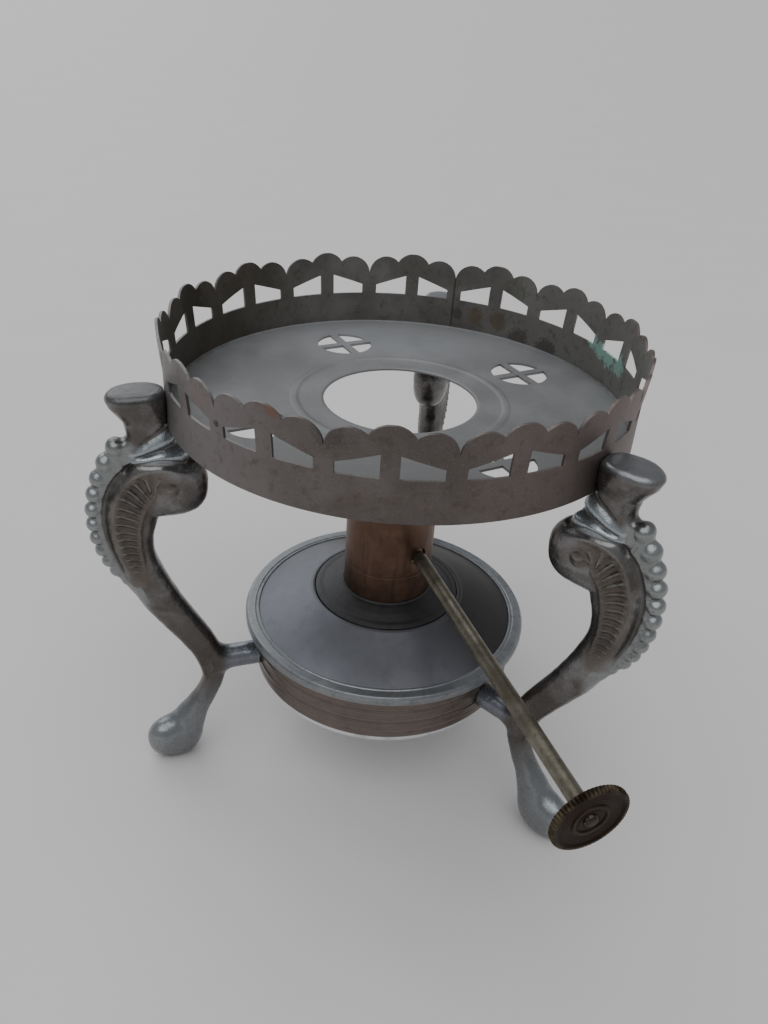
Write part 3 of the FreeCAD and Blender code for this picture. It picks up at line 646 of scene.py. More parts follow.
def make_top_plate():
    """Pressed disc with a bead round its hole and four pierced rosettes."""
    top, bottom = PLATE_TOP, low("top_plate").z
    rim = half_width("top_plate")
    hole, bead = PLATE_HOLE, PLATE_BEAD
    piece = lathe("top_plate_disc", [
        (hole, bottom, 0.0), (rim, bottom, 0.0), (rim, top + 0.25, 0.0), (rim - 0.7, top, 0.5),
        (50.0, top, 0.0), (40.0, top, 0.0), (32.0, top, 0.0),
        (bead + 1.3, top, 0.5), (bead + 0.4, top + 0.20, 0.4), (bead - 0.4, top + 0.20, 0.4),
        (bead - 1.3, top, 0.5), (hole + 0.8, top, 0.4), (hole + 0.35, top - 0.06, 0.1),
        (hole, top - 0.2, 0.12),
    ], segments=256)
    cut_out(piece, "rosettes", rosette_cutter(bottom - 1.0, top + 1.0))
    eased_edges(piece, 0.1, angle=60.0)
    even_normals(piece)
    give(piece, plate_metal(), edge_metal("plate_edge", (0.26, 0.26, 0.25), (0.10, 0.095, 0.09)))
    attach(piece, "stand")
    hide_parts("top_plate")


ROSETTES = (32.5, 113.5, 209.5, 305.5)
ROSETTE_REACH, ROSETTE_RADIUS, ROSETTE_BAR, ROSETTE_TURN = 40.4, 7.9, 1.1, 28.0


def rosette_cutter(bottom, top):
    """Sixteen quarter-round prisms, four to a rosette."""
    vertices, faces = [], []
    for azimuth in ROSETTES:
        centre = Vector((
            ROSETTE_REACH * math.cos(math.radians(azimuth)),
            ROSETTE_REACH * math.sin(math.radians(azimuth))))
        for quarter in range(4):
            turn = math.radians(ROSETTE_TURN + 90 * quarter)
            start = math.asin(ROSETTE_BAR / ROSETTE_RADIUS)
            outline = [(ROSETTE_BAR, ROSETTE_BAR)]
            for step in range(13):
                angle = start + (math.pi / 2 - 2 * start) * step / 12
                outline.append((ROSETTE_RADIUS * math.cos(angle), ROSETTE_RADIUS * math.sin(angle)))
            first = len(vertices)
            for z in (bottom, top):
                for x, y in outline:
                    vertices.append((
                        centre.x + x * math.cos(turn) - y * math.sin(turn),
                        centre.y + x * math.sin(turn) + y * math.cos(turn), z))
            faces += prism_faces(first, len(outline))
    return piece_from("rosette_cutter", vertices, faces)


def settle(piece):
    """Applies every modifier of a piece."""
    graph = bpy.context.evaluated_depsgraph_get()
    graph.update()
    mesh = bpy.data.meshes.new_from_object(piece.evaluated_get(graph))
    piece.modifiers.clear()
    piece.data = mesh


def plate_metal():
    """Dull tinned sheet with turned scratches, painted shade where it meets the band, painted shade at the
    front and painted light at the back.
    """
    paint = Paint("plate_satin")
    cloud = paint.noise(22.0, 3.0, 0.55)
    fine = paint.noise(0.35, 2.0, 0.7)
    speck = paint.noise(3.0, 5.0, 0.7)
    wear = paint.noise(8.0, 5.0, 0.7)
    colour = paint.mix(paint.steps(cloud, 0.35, 0.7), (0.160, 0.160, 0.160), (0.208, 0.209, 0.211))
    colour = paint.over(colour, (0.150, 0.142, 0.130), paint.steps(speck, 0.52, 0.75), 0.35)
    colour = paint.over(colour, (0.250, 0.250, 0.248), paint.steps(wear, 0.50, 0.70), 0.25)
    colour = paint.over(colour, (0.30, 0.30, 0.30), paint.steps(fine, 0.5, 0.8), 0.25)
    x, y, _ = paint.axes()
    radius = paint.axis_distance(x, y)
    # Painted shade: a dark ring where the plate meets the band.
    painted_shade = paint.steps(
        paint.math("ADD", radius, paint.math("MULTIPLY", speck, 0.003)), 0.0592, 0.0612)
    colour = paint.over(colour, (0.040, 0.035, 0.031), painted_shade, 0.8)
    # Painted shade over the front of the plate, and painted light over its back.
    front = paint.steps_below(y, -0.045, 0.005)
    colour = paint.over(colour, (0.086, 0.080, 0.074), front, 0.5)
    back = paint.steps(y, 0.015, 0.055)
    colour = paint.over(colour, (0.370, 0.380, 0.395), back, 0.6)
    paint.height((fine, 0.012), (paint.turned_lines(0.5), 0.012), (wear, 0.03))
    return paint.surface(colour, paint.math("ADD", paint.math("MULTIPLY", cloud, 0.2), 0.42), 0.55)


def make_holder_ring():
    """Ring under the lamp's rim, with lines turned round it."""
    bottom, top = low("holder_ring").z, high("holder_ring").z
    radius = half_width("holder_ring")
    wall = 0.8
    corners = [
        (radius - wall, bottom, 0.15), (radius - 0.15, bottom, 0.2),
        (radius - 0.05, bottom + 0.9, 0.3)]
    for line, depth, half in RING_LINES:
        corners += [
            (radius, line - half, 0.2), (radius - depth, line - 0.15, 0.08),
            (radius - depth, line + 0.15, 0.08), (radius, line + half, 0.2)]
    corners += [(radius, top, 0.2), (radius - wall, top, 0.15)]
    piece = lathe("holder_ring_turned", corners, segments=224)
    give(piece, satin_metal(
        "ring_coppery", (0.150, 0.122, 0.108), (0.085, 0.064, 0.052), (0.24, 0.205, 0.185),
        roughness=0.34, metallic=0.9, blotch=12.0, lines=0.5, edge_share=0.3, stain_share=0.4))
    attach(piece, "stand")
    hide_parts("holder_ring")


# Lines turned round the ring: height, depth and half width.
RING_LINES = [
    (30.9, 0.10, 0.45), (33.2, 0.28, 0.60), (34.6, 0.10, 0.40), (37.4, 0.25, 0.55),
    (38.6, 0.10, 0.40)]


# ------------------------------------------------------------------- the legs

LEG_AZIMUTHS = {"leg_left": 198.0, "leg_right": -42.0, "leg_back": 78.0}
BAND_BOTTOM, RING_RADIUS = 111.1, 38.6
VOXEL = 0.32
SOLE_LEVEL = 0.001

# Centre line of a leg: reach, height, half depth, half breadth.
STEM = [
    (61.0, 94.6, 8.2, 4.9), (65.4, 92.6, 7.6, 4.9), (69.0, 89.6, 6.8, 4.8), (70.4, 85.0, 6.4, 4.7),
    (71.0, 79.6, 5.7, 4.4), (70.3, 73.4, 5.0, 4.2), (68.3, 66.8, 4.9, 4.1), (65.4, 59.6, 4.9, 4.0),
    (61.6, 52.6, 4.5, 3.8), (57.6, 45.8, 4.2, 3.6), (54.2, 39.4, 4.0, 3.5),
    (52.2, 33.0, 3.8, 3.3), (52.2, 27.4, 3.1, 2.9), (54.2, 22.2, 3.0, 2.9),
    (57.0, 17.6, 3.5, 3.2), (59.4, 13.4, 4.6, 3.8), (61.4, 9.6, 5.2, 4.2),
]
# Level sections of the neck and its flat head: height, middle, half depth, half breadth.
HEAD = [
    (96.0, 61.0, 8.0, 4.9), (101.0, 63.2, 7.2, 4.7), (105.0, 63.7, 6.4, 4.3), (108.8, 64.2, 5.5, 4.1),
    (112.0, 64.8, 5.4, 4.2), (114.2, 65.5, 6.3, 4.8), (116.0, 66.2, 7.0, 5.3), (117.8, 66.6, 7.3, 5.6),
    (121.0, 66.5, 7.1, 5.5),
]
HEAD_TOP, HEAD_CROWN, HEAD_ROUND = 120.0, 0.010, 1.6
FLANGE = [
    (67.6, 105.4, 2.4, 2.6), (71.0, 103.5, 3.2, 2.4), (73.9, 99.0, 3.5, 2.3), (75.4, 93.4, 3.5, 2.2),
    (76.1, 88.0, 3.4, 2.1), (76.1, 83.2, 3.4, 2.1), (75.5, 78.4, 3.4, 2.1), (74.3, 73.8, 3.4, 2.1),
    (72.4, 69.0, 3.3, 2.1), (69.8, 64.0, 2.9, 2.0),
]
# Thick rim that curls round the ribbed channel.
RIM = [
    (56.6, 97.4), (59.4, 99.8), (62.9, 100.7), (67.0, 99.9), (70.3, 97.8), (72.8, 94.8), (74.4, 91.0),
    (75.1, 86.8), (74.9, 82.2), (74.0, 77.2), (72.6, 72.4), (70.8, 67.6),
]
RIM_HEIGHT, RIM_HALF, CREASE_AWAY, CREASE_DEPTH = 0.75, 1.30, 2.0, 0.60
# Middle of the channel with its ribs: reach, height, half width.
CHANNEL = [
    (61.4, 95.4, 1.3), (63.8, 96.6, 2.3), (66.2, 96.0, 3.0), (68.3, 94.0, 3.4), (70.1, 91.4, 3.5),
    (71.2, 88.2, 3.3), (71.8, 84.8, 3.0), (71.8, 81.2, 2.7), (71.5, 77.4, 2.3), (70.8, 73.6, 1.9),
    (69.8, 70.0, 1.4), (68.9, 67.2, 0.8),
]
RIBS, RIB_HEIGHT, RIB_SHARE = 17, 0.55, 0.22
VOLUTE = (58.9, 93.5, 8.1, 5.5)
CURL = (60.7, 94.5)
COMMA = [(72.4, 102.6), (71.7, 101.0), (71.8, 99.0)]
FOOT = (64.6, 6.4, 7.9, 6.7, 5.1)
BRANCH_HEIGHT, BRANCH_RADIUS, BRANCH_ROOT = 34.0, 3.5, 52.5
PEARL_PATH = ((72.5, 105.3), (79.5, 87.0), (75.6, 69.6))
PEARLS, PEARL_FIRST, PEARL_LAST, PEARL_BROAD, PEARL_BLEND = 10, 2.45, 1.75, 1.20, 0.55
PEARL_EASE = 0.16
# Folds of the leaf below the neck: both ends and half width at the far end.
FOLDS = [((69.0, 104.0), (58.4, 108.4), 1.9), ((69.0, 102.2), (57.2, 103.4), 1.7)]
FOLD_HEIGHT, FOLD_ARCH, FOLD_TIP = 0.80, 0.5, 0.55


def smooth_min(a, b, blend):
    """The lesser of two fields, with a fillet of the blend's size."""
    share = np.clip(0.5 + 0.5 * (b - a) / blend, 0.0, 1.0)
    return b * (1 - share) + a * share - blend * share * (1 - share)


def spline_through(stations, count):
    """Smooth rows through stations, evenly spaced along the first two columns."""
    rows = np.array(stations, float)
    padded = np.vstack([2 * rows[0] - rows[1], rows, 2 * rows[-1] - rows[-2]])
    fine = []
    for k in range(1, len(padded) - 2):
        p0, p1, p2, p3 = padded[k - 1:k + 3]
        for t in np.linspace(0, 1, 24, endpoint=False):
            fine.append(0.5 * (
                2 * p1 + (p2 - p0) * t + (2 * p0 - 5 * p1 + 4 * p2 - p3) * t ** 2
                + (3 * p1 - p0 - 3 * p2 + p3) * t ** 3))
    fine.append(padded[-2])
    fine = np.array(fine)
    length = np.concatenate([[0], np.cumsum(np.linalg.norm(np.diff(fine[:, :2], axis=0), axis=1))])
    even = np.linspace(0, length[-1], count)
    return np.column_stack([np.interp(even, length, column) for column in fine.T])


def nearest_on(line, x, z):
    """For each grid place: the row of the nearest place on the line, as a real
    number, and the signed distance to the line's left."""
    best = np.full(x.shape, 1e9)
    row = np.zeros(x.shape)
    side = np.zeros(x.shape)
    for k in range(len(line) - 1):
        start, end = line[k, :2], line[k + 1, :2]
        run = end - start
        square = run @ run
        share = np.clip(((x - start[0]) * run[0] + (z - start[1]) * run[1]) / square, 0, 1)
        dx, dz = x - (start[0] + run[0] * share), z - (start[1] + run[1] * share)
        away = np.hypot(dx, dz)
        closer = away < best
        best = np.where(closer, away, best)
        row = np.where(closer, k + share, row)
        side = np.where(closer, np.sign(run[0] * dz - run[1] * dx), side)
    return row, best * side


def column_at(line, row, column):
    """A line's column at rows given as real numbers."""
    return np.interp(row, np.arange(len(line)), line[:, column])


def swept(stations, x, y, z, power):
    """Field of a bar along a centre line with superelliptic sections."""
    line = spline_through(stations, 90)
    row, away = nearest_on(line, x, z)
    depth, breadth = column_at(line, row, 2), column_at(line, row, 3)
    a = (np.abs(away) / depth)[:, None, :] ** power
    b = (np.abs(y)[None, :, None] / breadth[:, None, :]) ** power
    least = np.minimum(depth, breadth)[:, None, :]
    return ((a + b) ** (1.0 / power) - 1.0) * least


def rounded_mass(x, y, z, radii, middle, power):
    """Field of a superellipsoid."""
    a = (np.abs(x - middle[0]) / radii[0])[:, None, :] ** power
    b = (np.abs(y)[None, :, None] / radii[1]) ** power
    c = (np.abs(z - middle[1]) / radii[2])[:, None, :] ** power
    return ((a + b + c) ** (1.0 / power) - 1.0) * min(radii)


def ridge(away, half):
    """A rounded ridge: 1 in its middle, fading over its half width."""
    return np.exp(-(away / half) ** 2)


def fold_line(start, end):
    """The middle of a leaf's fold, arched a little between its ends."""
    middle = ((start[0] + end[0]) / 2, (start[1] + end[1]) / 2 + FOLD_ARCH)
    return spline_through([start, middle, end], 40)


def leg_relief(x, z):
    """Height of the casting's ornament on a leg's two sides, in millimetres."""
    line = spline_through(CHANNEL, 120)
    row, away = nearest_on(line, x, z)
    half = column_at(line, row, 2)
    across = away / half
    along = row / (len(line) - 1)
    bed = np.clip(1 - across ** 2, 0, 1)
    ends = np.clip(along / 0.10, 0, 1) * np.clip((1.0 - along) / 0.16, 0, 1)
    phase = along * RIBS + 0.25 * bed + 0.35 * across
    rib = ridge(phase - np.floor(phase) - 0.5, RIB_SHARE)
    within = np.clip((1.0 - np.abs(across)) / 0.30, 0, 1)
    relief = (RIB_HEIGHT * rib * within - 0.22 * np.sqrt(bed)) * ends
    relief = relief + 0.30 * ridge(away + half * 1.04, 0.55) * ends
    rim = spline_through(RIM, 120)
    row, away = nearest_on(rim, x, z)
    along = row / (len(rim) - 1)
    fading = np.clip((1.0 - along) / 0.22, 0, 1) * np.clip(along / 0.14, 0, 1)
    relief = relief + RIM_HEIGHT * ridge(away, RIM_HALF) * fading
    relief = relief - CREASE_DEPTH * ridge(away - CREASE_AWAY, 0.5) * fading
    curl = np.hypot(x - CURL[0], z - CURL[1])
    relief = relief + 0.45 * ridge(curl, 1.2) - 0.30 * ridge(curl - 2.3, 0.5)
    comma = spline_through(COMMA, 20)
    _, away = nearest_on(comma, x, z)
    relief = relief + 0.30 * ridge(away, 0.5)
    for start, end, width in FOLDS:
        fold = fold_line(start, end)
        row, away = nearest_on(fold, x, z)
        along = row / (len(fold) - 1)
        share = away / (FOLD_TIP + (width - FOLD_TIP) * along)
        opening = np.clip(along / 0.3, 0, 1)
        relief = relief + FOLD_HEIGHT * ridge(share, 1.0) * (0.4 + 0.6 * opening)
        relief = relief - 0.45 * ridge(np.abs(share) - 1.65, 0.5) * opening
    return relief


def pale_share(x, z):
    """Share 1 on the flange beyond the rim, where the casting is rubbed lighter."""
    rim = spline_through(RIM, 120)
    _, away = nearest_on(rim, x, z)
    beyond = np.clip((away - CREASE_AWAY) / 0.8, 0, 1)
    return beyond * np.clip((x - 67.5) / 2.0, 0, 1) * np.clip((108.0 - z) / 2.0, 0, 1)


def fold_highlight_share(x, z):
    """Share 1 on the two folds of the leaf, where the material paints a bluish highlight."""
    share = np.zeros(x.shape)
    for start, end, width in FOLDS:
        fold = fold_line(start, end)
        row, away = nearest_on(fold, x, z)
        half = FOLD_TIP + (width - FOLD_TIP) * row / (len(fold) - 1)
        share = np.maximum(share, np.clip(1.6 - np.abs(away) / half, 0, 1))
    return share


def shade_share(x, z):
    """Share 1 in the ribbed channel, where the material paints brown shade."""
    line = spline_through(CHANNEL, 60)
    row, away = nearest_on(line, x, z)
    half = column_at(line, row, 2)
    return np.clip((half + 2.4 - np.abs(away)) / 2.4, 0, 1)


def pearl_places():
    """Places and radii of the pearls along their arc, with small ones after it."""
    (x1, z1), (x2, z2), (x3, z3) = PEARL_PATH
    a = np.array([[x2 - x1, z2 - z1], [x3 - x2, z3 - z2]]) * 2
    b = np.array([x2 ** 2 - x1 ** 2 + z2 ** 2 - z1 ** 2, x3 ** 2 - x2 ** 2 + z3 ** 2 - z2 ** 2])
    cx, cz = np.linalg.solve(a, b)
    radius = math.hypot(x1 - cx, z1 - cz)
    first, last = math.atan2(z1 - cz, x1 - cx), math.atan2(z3 - cz, x3 - cx)
    spare = 3
    for number in range(PEARLS + spare):
        share = number / (PEARLS - 1)
        angle = first + (last - first) * (share + PEARL_EASE * share * max(1 - share, 0.0))
        size = PEARL_FIRST + (PEARL_LAST - PEARL_FIRST) * share
        if number >= PEARLS:
            size = PEARL_LAST * (1 - 0.18 * (number - PEARLS + 1))
        inset = 0.25 * max(0, number - PEARLS + 1)
        yield cx + (radius - inset) * math.cos(angle), cz + (radius - inset) * math.sin(angle), size


def level_sections(x, y, z):
    """Field of the neck and its flat-topped head, from level oval sections."""
    stations = np.array(HEAD)
    middle, depth, breadth = (np.interp(z, stations[:, 0], stations[:, c]) for c in (1, 2, 3))
    a = (np.abs(x - middle) / depth)[:, None, :] ** 2.3
    b = (np.abs(y)[None, :, None] / breadth[:, None, :]) ** 2.3
    field = ((a + b) ** (1 / 2.3) - 1.0) * np.minimum(depth, breadth)[:, None, :]
    top = HEAD_TOP - HEAD_CROWN * ((x - 65.5) ** 2)[:, None, :] - HEAD_CROWN * (y ** 2)[None, :, None]
    field = -smooth_min(-field, -(z[:, None, :] - top), HEAD_ROUND)
    return np.maximum(field, HEAD[0][0] - z[:, None, :])


def leg_field(x, y, z):
    """Signed field of one leg over a grid: below zero inside the metal."""
    field = smooth_min(swept(STEM, x, y, z, 2.5), level_sections(x, y, z), 1.6)
    volute = rounded_mass(x, y, z, (VOLUTE[2], VOLUTE[3], VOLUTE[2]), VOLUTE[:2], 2.4)
    field = smooth_min(field, volute, 1.6)
    relief = leg_relief(x, z)[:, None, :]
    field = smooth_min(field, swept(FLANGE, x, y, z, 3.2), 0.7)
    on_sides = np.clip((np.abs(y)[None, :, None] - 0.6) / 1.4, 0, 1)
    field = field - relief * on_sides
    for px, pz, radius in pearl_places():
        flat = (x - px) ** 2 + (z - pz) ** 2
        away = np.sqrt(flat[:, None, :] + ((y / PEARL_BROAD) ** 2)[None, :, None])
        field = smooth_min(field, away - radius, PEARL_BLEND)
    foot = rounded_mass(x, y, z, (FOOT[2], FOOT[4], FOOT[3]), FOOT[:2], 2.15)
    field = smooth_min(field, foot, 1.8)
    branch = np.sqrt(((z - BRANCH_HEIGHT) ** 2)[:, None, :] + (y ** 2)[None, :, None]) - BRANCH_RADIUS
    branch = np.maximum(branch, (x - BRANCH_ROOT)[:, None, :])
    field = smooth_min(field, branch, 2.6)
    radius = np.hypot(x[:, None, :], y[None, :, None])
    seat = np.maximum(radius - BAND_RADIUS - 0.03, BAND_BOTTOM - 0.03 - z[:, None, :])
    field = np.maximum(field, -seat)
    field = np.maximum(field, RING_RADIUS + 0.02 - radius)
    return np.maximum(field, -z[:, None, :])


def surface_net(field, origin, step):
    """Vertices and quads on a field's zero level, one vertex to a crossed cell."""
    shape = np.array(field.shape)
    cells = shape - 1
    total = int(np.prod(cells))
    weight = np.zeros(total)
    moment = np.zeros((total, 3))
    quads = []
    for axis in range(3):
        first = [slice(None)] * 3
        second = [slice(None)] * 3
        first[axis], second[axis] = slice(0, -1), slice(1, None)
        a, b = field[tuple(first)], field[tuple(second)]
        edges = np.argwhere((a < 0) != (b < 0))
        u, v = (axis + 1) % 3, (axis + 2) % 3
        within = (edges[:, u] > 0) & (edges[:, v] > 0)
        within &= (edges[:, u] < shape[u] - 1) & (edges[:, v] < shape[v] - 1)
        edges = edges[within]
        va, vb = a[tuple(edges.T)], b[tuple(edges.T)]
        place = edges.astype(float)
        place[:, axis] += va / (va - vb)
        ring = []
        for du, dv in ((0, 0), (1, 0), (1, 1), (0, 1)):
            cell = edges.copy()
            cell[:, u] -= du
            cell[:, v] -= dv
            flat = np.ravel_multi_index(tuple(cell.T), tuple(cells))
            weight += np.bincount(flat, minlength=total)
            for c in range(3):
                moment[:, c] += np.bincount(flat, weights=place[:, c], minlength=total)
            ring.append(flat)
        quad = np.stack(ring, axis=1)
        quad[va >= 0] = quad[va >= 0][:, ::-1]
        quads.append(quad)
    used = np.flatnonzero(weight)
    number = np.full(total, -1)
    number[used] = np.arange(len(used))
    vertices = moment[used] / weight[used, None] * step + np.array(origin)
    return vertices, number[np.concatenate(quads)]


def neighbour_mean(values, pairs, count):
    """The mean of each vertex's neighbours, by the mesh's edges."""
    total = np.zeros((count, values.shape[1]))
    for c in range(values.shape[1]):
        total[:, c] = np.bincount(pairs[:, 0], values[pairs[:, 1], c], count)
        total[:, c] += np.bincount(pairs[:, 1], values[pairs[:, 0], c], count)
    degree = np.bincount(pairs.ravel(), minlength=count)
    return total / degree[:, None]


def leg_mesh():
    """One leg in its own plane, its reach along +X: mesh places, faces, hollows."""
    low_corner, high_corner = (37.6, 0.0, -0.8), (84.0, 8.2, 123.4)
    xs, ys, zs = (np.arange(a, b, VOXEL) for a, b in zip(low_corner, high_corner))
    x, z = np.meshgrid(xs, zs, indexing="ij")
    half = leg_field(x, ys, z)
    field = np.concatenate([half[:, :0:-1], half], axis=1)
    vertices, quads = surface_net(field, (xs[0], -ys[-1], zs[0]), VOXEL)
    mesh = bpy.data.meshes.new("leg_probe")
    mesh.from_pydata(vertices.tolist(), [], quads.tolist())
    mesh.update()
    pairs = np.zeros(len(mesh.edges) * 2, int)
    mesh.edges.foreach_get("vertices", pairs)
    pairs = pairs.reshape(-1, 2)
    count = len(vertices)
    soft = vertices + 0.5 * (neighbour_mean(vertices, pairs, count) - vertices)
    soft = soft - 0.25 * (neighbour_mean(soft, pairs, count) - soft)
    mesh.vertices.foreach_set("co", soft.ravel())
    mesh.update()
    normals = np.zeros(count * 3)
    mesh.vertices.foreach_get("normal", normals)
    normals = normals.reshape(-1, 3)
    wide = soft
    for _ in range(6):
        wide = neighbour_mean(wide, pairs, count)
    hollow = ((wide - soft) * normals).sum(1)[:, None]
    for _ in range(2):
        hollow = neighbour_mean(hollow, pairs, count)
    bpy.data.meshes.remove(mesh)
    casting = np.array([noise.noise(Vector(v) * 0.35) + 0.5 * noise.noise(Vector(v) * 1.1) for v in soft])
    free = (soft[:, 2] > 0.3) & (np.hypot(soft[:, 0], soft[:, 1]) > RING_RADIUS + 0.4)
    free &= ~((soft[:, 2] > BAND_BOTTOM - 0.5) & (np.hypot(soft[:, 0], soft[:, 1]) < BAND_RADIUS + 0.5))
    places = soft + normals * (casting * 0.07 * free)[:, None]
    places[:, 2] = np.maximum(places[:, 2], SOLE_LEVEL)
    x, z = soft[:, 0], soft[:, 2]
    values = {
        "hollow": hollow[:, 0], "pale": pale_share(x, z), "painted_shade": shade_share(x, z),
        "fold": fold_highlight_share(x, z)}
    return places, quads.tolist(), values


def make_legs():
    """The three castings, one mesh turned to each leg's bearing."""
    places, faces, values = leg_mesh()
    material = leg_metal()
    for name, azimuth in LEG_AZIMUTHS.items():
        turn = math.radians(azimuth)
        rotation = np.array([
            [math.cos(turn), -math.sin(turn), 0], [math.sin(turn), math.cos(turn), 0], [0, 0, 1]])
        piece = piece_from(name + "_casting", places @ rotation.T, faces, smooth_angle=60.0)
        for word, numbers in values.items():
            point_values(piece, word, numbers)
        give(piece, material)
        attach(piece, "stand")
        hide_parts(name)


def leg_metal():
    """Cast white metal: gunmetal with painted shade on the lower stem, in the ribbed channel and in the
    hollows, and painted bluish light on the foot, the branch and the folds.
    """
    paint = Paint("leg_pewter")
    cloud = paint.noise(10.0, 4.0, 0.6)
    fine = paint.noise(0.5, 3.0, 0.7)
    speck = paint.noise(2.0, 4.0, 0.7)
    x, y, z = paint.axes()
    hollow = paint.attribute("hollow")
    colour = paint.mix(paint.steps(cloud, 0.38, 0.64), (0.105, 0.097, 0.090), (0.205, 0.202, 0.200))
    # Painted shade: darker brown down the lower stem.
    shank = paint.steps_below(z, 0.046, 0.062)
    colour = paint.over(colour, (0.082, 0.070, 0.061), shank, 0.75)
    # Painted light: bluish and lighter on the foot.
    below = paint.steps_below(z, 0.014, 0.031)
    colour = paint.over(colour, (0.262, 0.282, 0.296), below, 0.75)
    # Painted light: bluish and lighter on the branch near the axis.
    inwards = paint.steps_below(paint.axis_distance(x, y), 0.047, 0.051)
    colour = paint.over(colour, (0.215, 0.228, 0.262), inwards, 0.8)
    # Painted shade and light on the flat tops of the heads: darker on the left leg, lighter on the others.
    crown = paint.steps(z, 0.1180, 0.1192)
    pad = paint.mix(paint.steps(x, -0.01, 0.01), (0.060, 0.060, 0.061), (0.205, 0.210, 0.218))
    colour = paint.over(colour, pad, crown, 0.8)
    # Painted shade: the ribbed channel is made darker and browner.
    brown = paint.math("MULTIPLY", paint.attribute("painted_shade"), paint.steps(cloud, 0.25, 0.55))
    colour = paint.over(colour, (0.120, 0.098, 0.078), brown, 0.7)
    colour = paint.over(colour, (0.275, 0.290, 0.290), paint.attribute("pale"), 0.8)
    # Painted highlight: pale bluish on the two folds of the leaf.
    colour = paint.over(colour, (0.400, 0.445, 0.470), paint.attribute("fold"), 0.8)
    colour = paint.over(colour, (0.100, 0.080, 0.064), paint.steps(speck, 0.5, 0.75), 0.35)
    # Painted shade: darker in the hollows of the casting, where shade falls.
    deep = paint.steps(paint.math("ADD", hollow, paint.math("MULTIPLY", cloud, 0.03)), 0.04, 0.20)
    colour = paint.over(colour, (0.058, 0.048, 0.040), deep, 0.65)
    proud = paint.steps(
        paint.math("SUBTRACT", paint.math("MULTIPLY", speck, 0.05), hollow), 0.06, 0.20)
    colour = paint.over(colour, (0.34, 0.365, 0.365), proud, 0.55)
    rough = paint.math("ADD", paint.math("MULTIPLY", speck, 0.25), 0.15)
    rough = paint.math("ADD", rough, paint.math("MULTIPLY", deep, 0.25))
    rough = paint.math("ADD", rough, paint.math("MULTIPLY", crown, 0.05))
    paint.height((fine, 0.02), (speck, 0.05))
    return paint.surface(colour, rough, 0.85)


# ------------------------------------------------------------------- the lamp

# Sheet metal of the lamp, inner radius of the font's neck, radius of the burner
# tube and the level where the tube's lower sleeve ends.
SHEET, NECK_RADIUS, TUBE_RADIUS, SLEEVE_TOP = 0.7, 21.2, 12.6, 62.6


def make_font():
    """Base pan, cup, rim and shoulder of the font, each turned in its own right."""
    bottom = low("font_base").z
    radius = half_width("font_base")
    wall, corner, top = SHEET, 3.0, high("font_base").z
    dish, dish_reach = 1.2, 27.0
    arc = []
    for step in range(9):
        angle = -math.pi / 2 + math.pi / 2 * step / 8
        arc.append((
            radius - corner + corner * math.cos(angle),
            bottom + corner + corner * math.sin(angle), 0.0))
    base = lathe("font_base_pan", [
        (0.0, bottom + dish, 0.0), (dish_reach - 6, bottom + dish, 0.0), (dish_reach, bottom + dish, 0.8),
        (dish_reach + dish, bottom, 0.6), *arc, (radius, top - 0.3, 0.0), (radius, top, 0.0),
        (radius - wall, top, 0.0), (radius - wall, bottom + corner, 1.5),
        (radius - corner, bottom + wall, 1.0), (dish_reach + dish, bottom + wall, 0.5),
        (dish_reach, bottom + dish + wall, 0.5), (0.0, bottom + dish + wall, 0.0),
    ], segments=224)
    give(base, base_metal(bottom))
    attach(base, "font")
    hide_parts("font_base")

    dark = shoulder_metal()
    cup_top = high("font_cup").z
    cup = lathe("font_cup_wall", [
        (radius - wall, top, 0.0), (radius, top, 0.0), (radius, top + 4.0, 0.0),
        (radius, cup_top, 0.0), (radius - wall, cup_top, 0.0)], segments=224)
    give(cup, dark)
    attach(cup, "font")
    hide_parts("font_cup")

    rim_under, rim_top = low("font_rim").z, high("font_rim").z
    reach = half_width("font_rim")
    rim = lathe("font_rim_bead", [
        (radius, rim_under, 0.0), (radius + 1.0, rim_under, 0.3), (reach - 0.35, 42.3, 0.5),
        (reach, 43.0, 0.4), (reach, rim_top - 0.9, 0.45), (reach - 0.6, rim_top, 0.35),
        (radius + 1.3, rim_top - 0.05, 0.2), (radius + 0.95, rim_top - 0.28, 0.12),
        (radius + 0.6, rim_top, 0.12), (radius + 0.1, rim_top - 0.05, 0.1), (radius, rim_top - 0.3, 0.0),
    ], segments=256)
    give(rim, rim_metal())
    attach(rim, "font")
    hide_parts("font_rim")

    neck_level, skirt = high("font_shoulder").z, low("font_shoulder").z
    neck = NECK_RADIUS
    shoulder = lathe("font_shoulder_cone", [
        (radius - wall, cup_top, 0.0), (radius, cup_top, 0.0), (radius, cup_top + wall, 0.0),
        (34.6, 46.45, 0.0), (31.0, 48.2, 0.0), (27.4, 49.75, 0.0), (24.6, 50.85, 0.0),
        (neck + 1.3, neck_level - 0.1, 0.5), (neck + 0.5, neck_level, 0.2), (neck, neck_level - 0.1, 0.1),
        (neck, skirt, 0.0), (neck + wall, skirt, 0.0), (neck + wall, neck_level - 1.0, 0.4),
        (27.2, 49.0, 0.0), (31.0, 47.4, 0.0)], segments=256)
    give(shoulder, dark)
    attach(shoulder, "font")
    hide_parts("font_shoulder")
    give(frame["nodes"]["neck_collar"], plain_brass("collar_brass"))


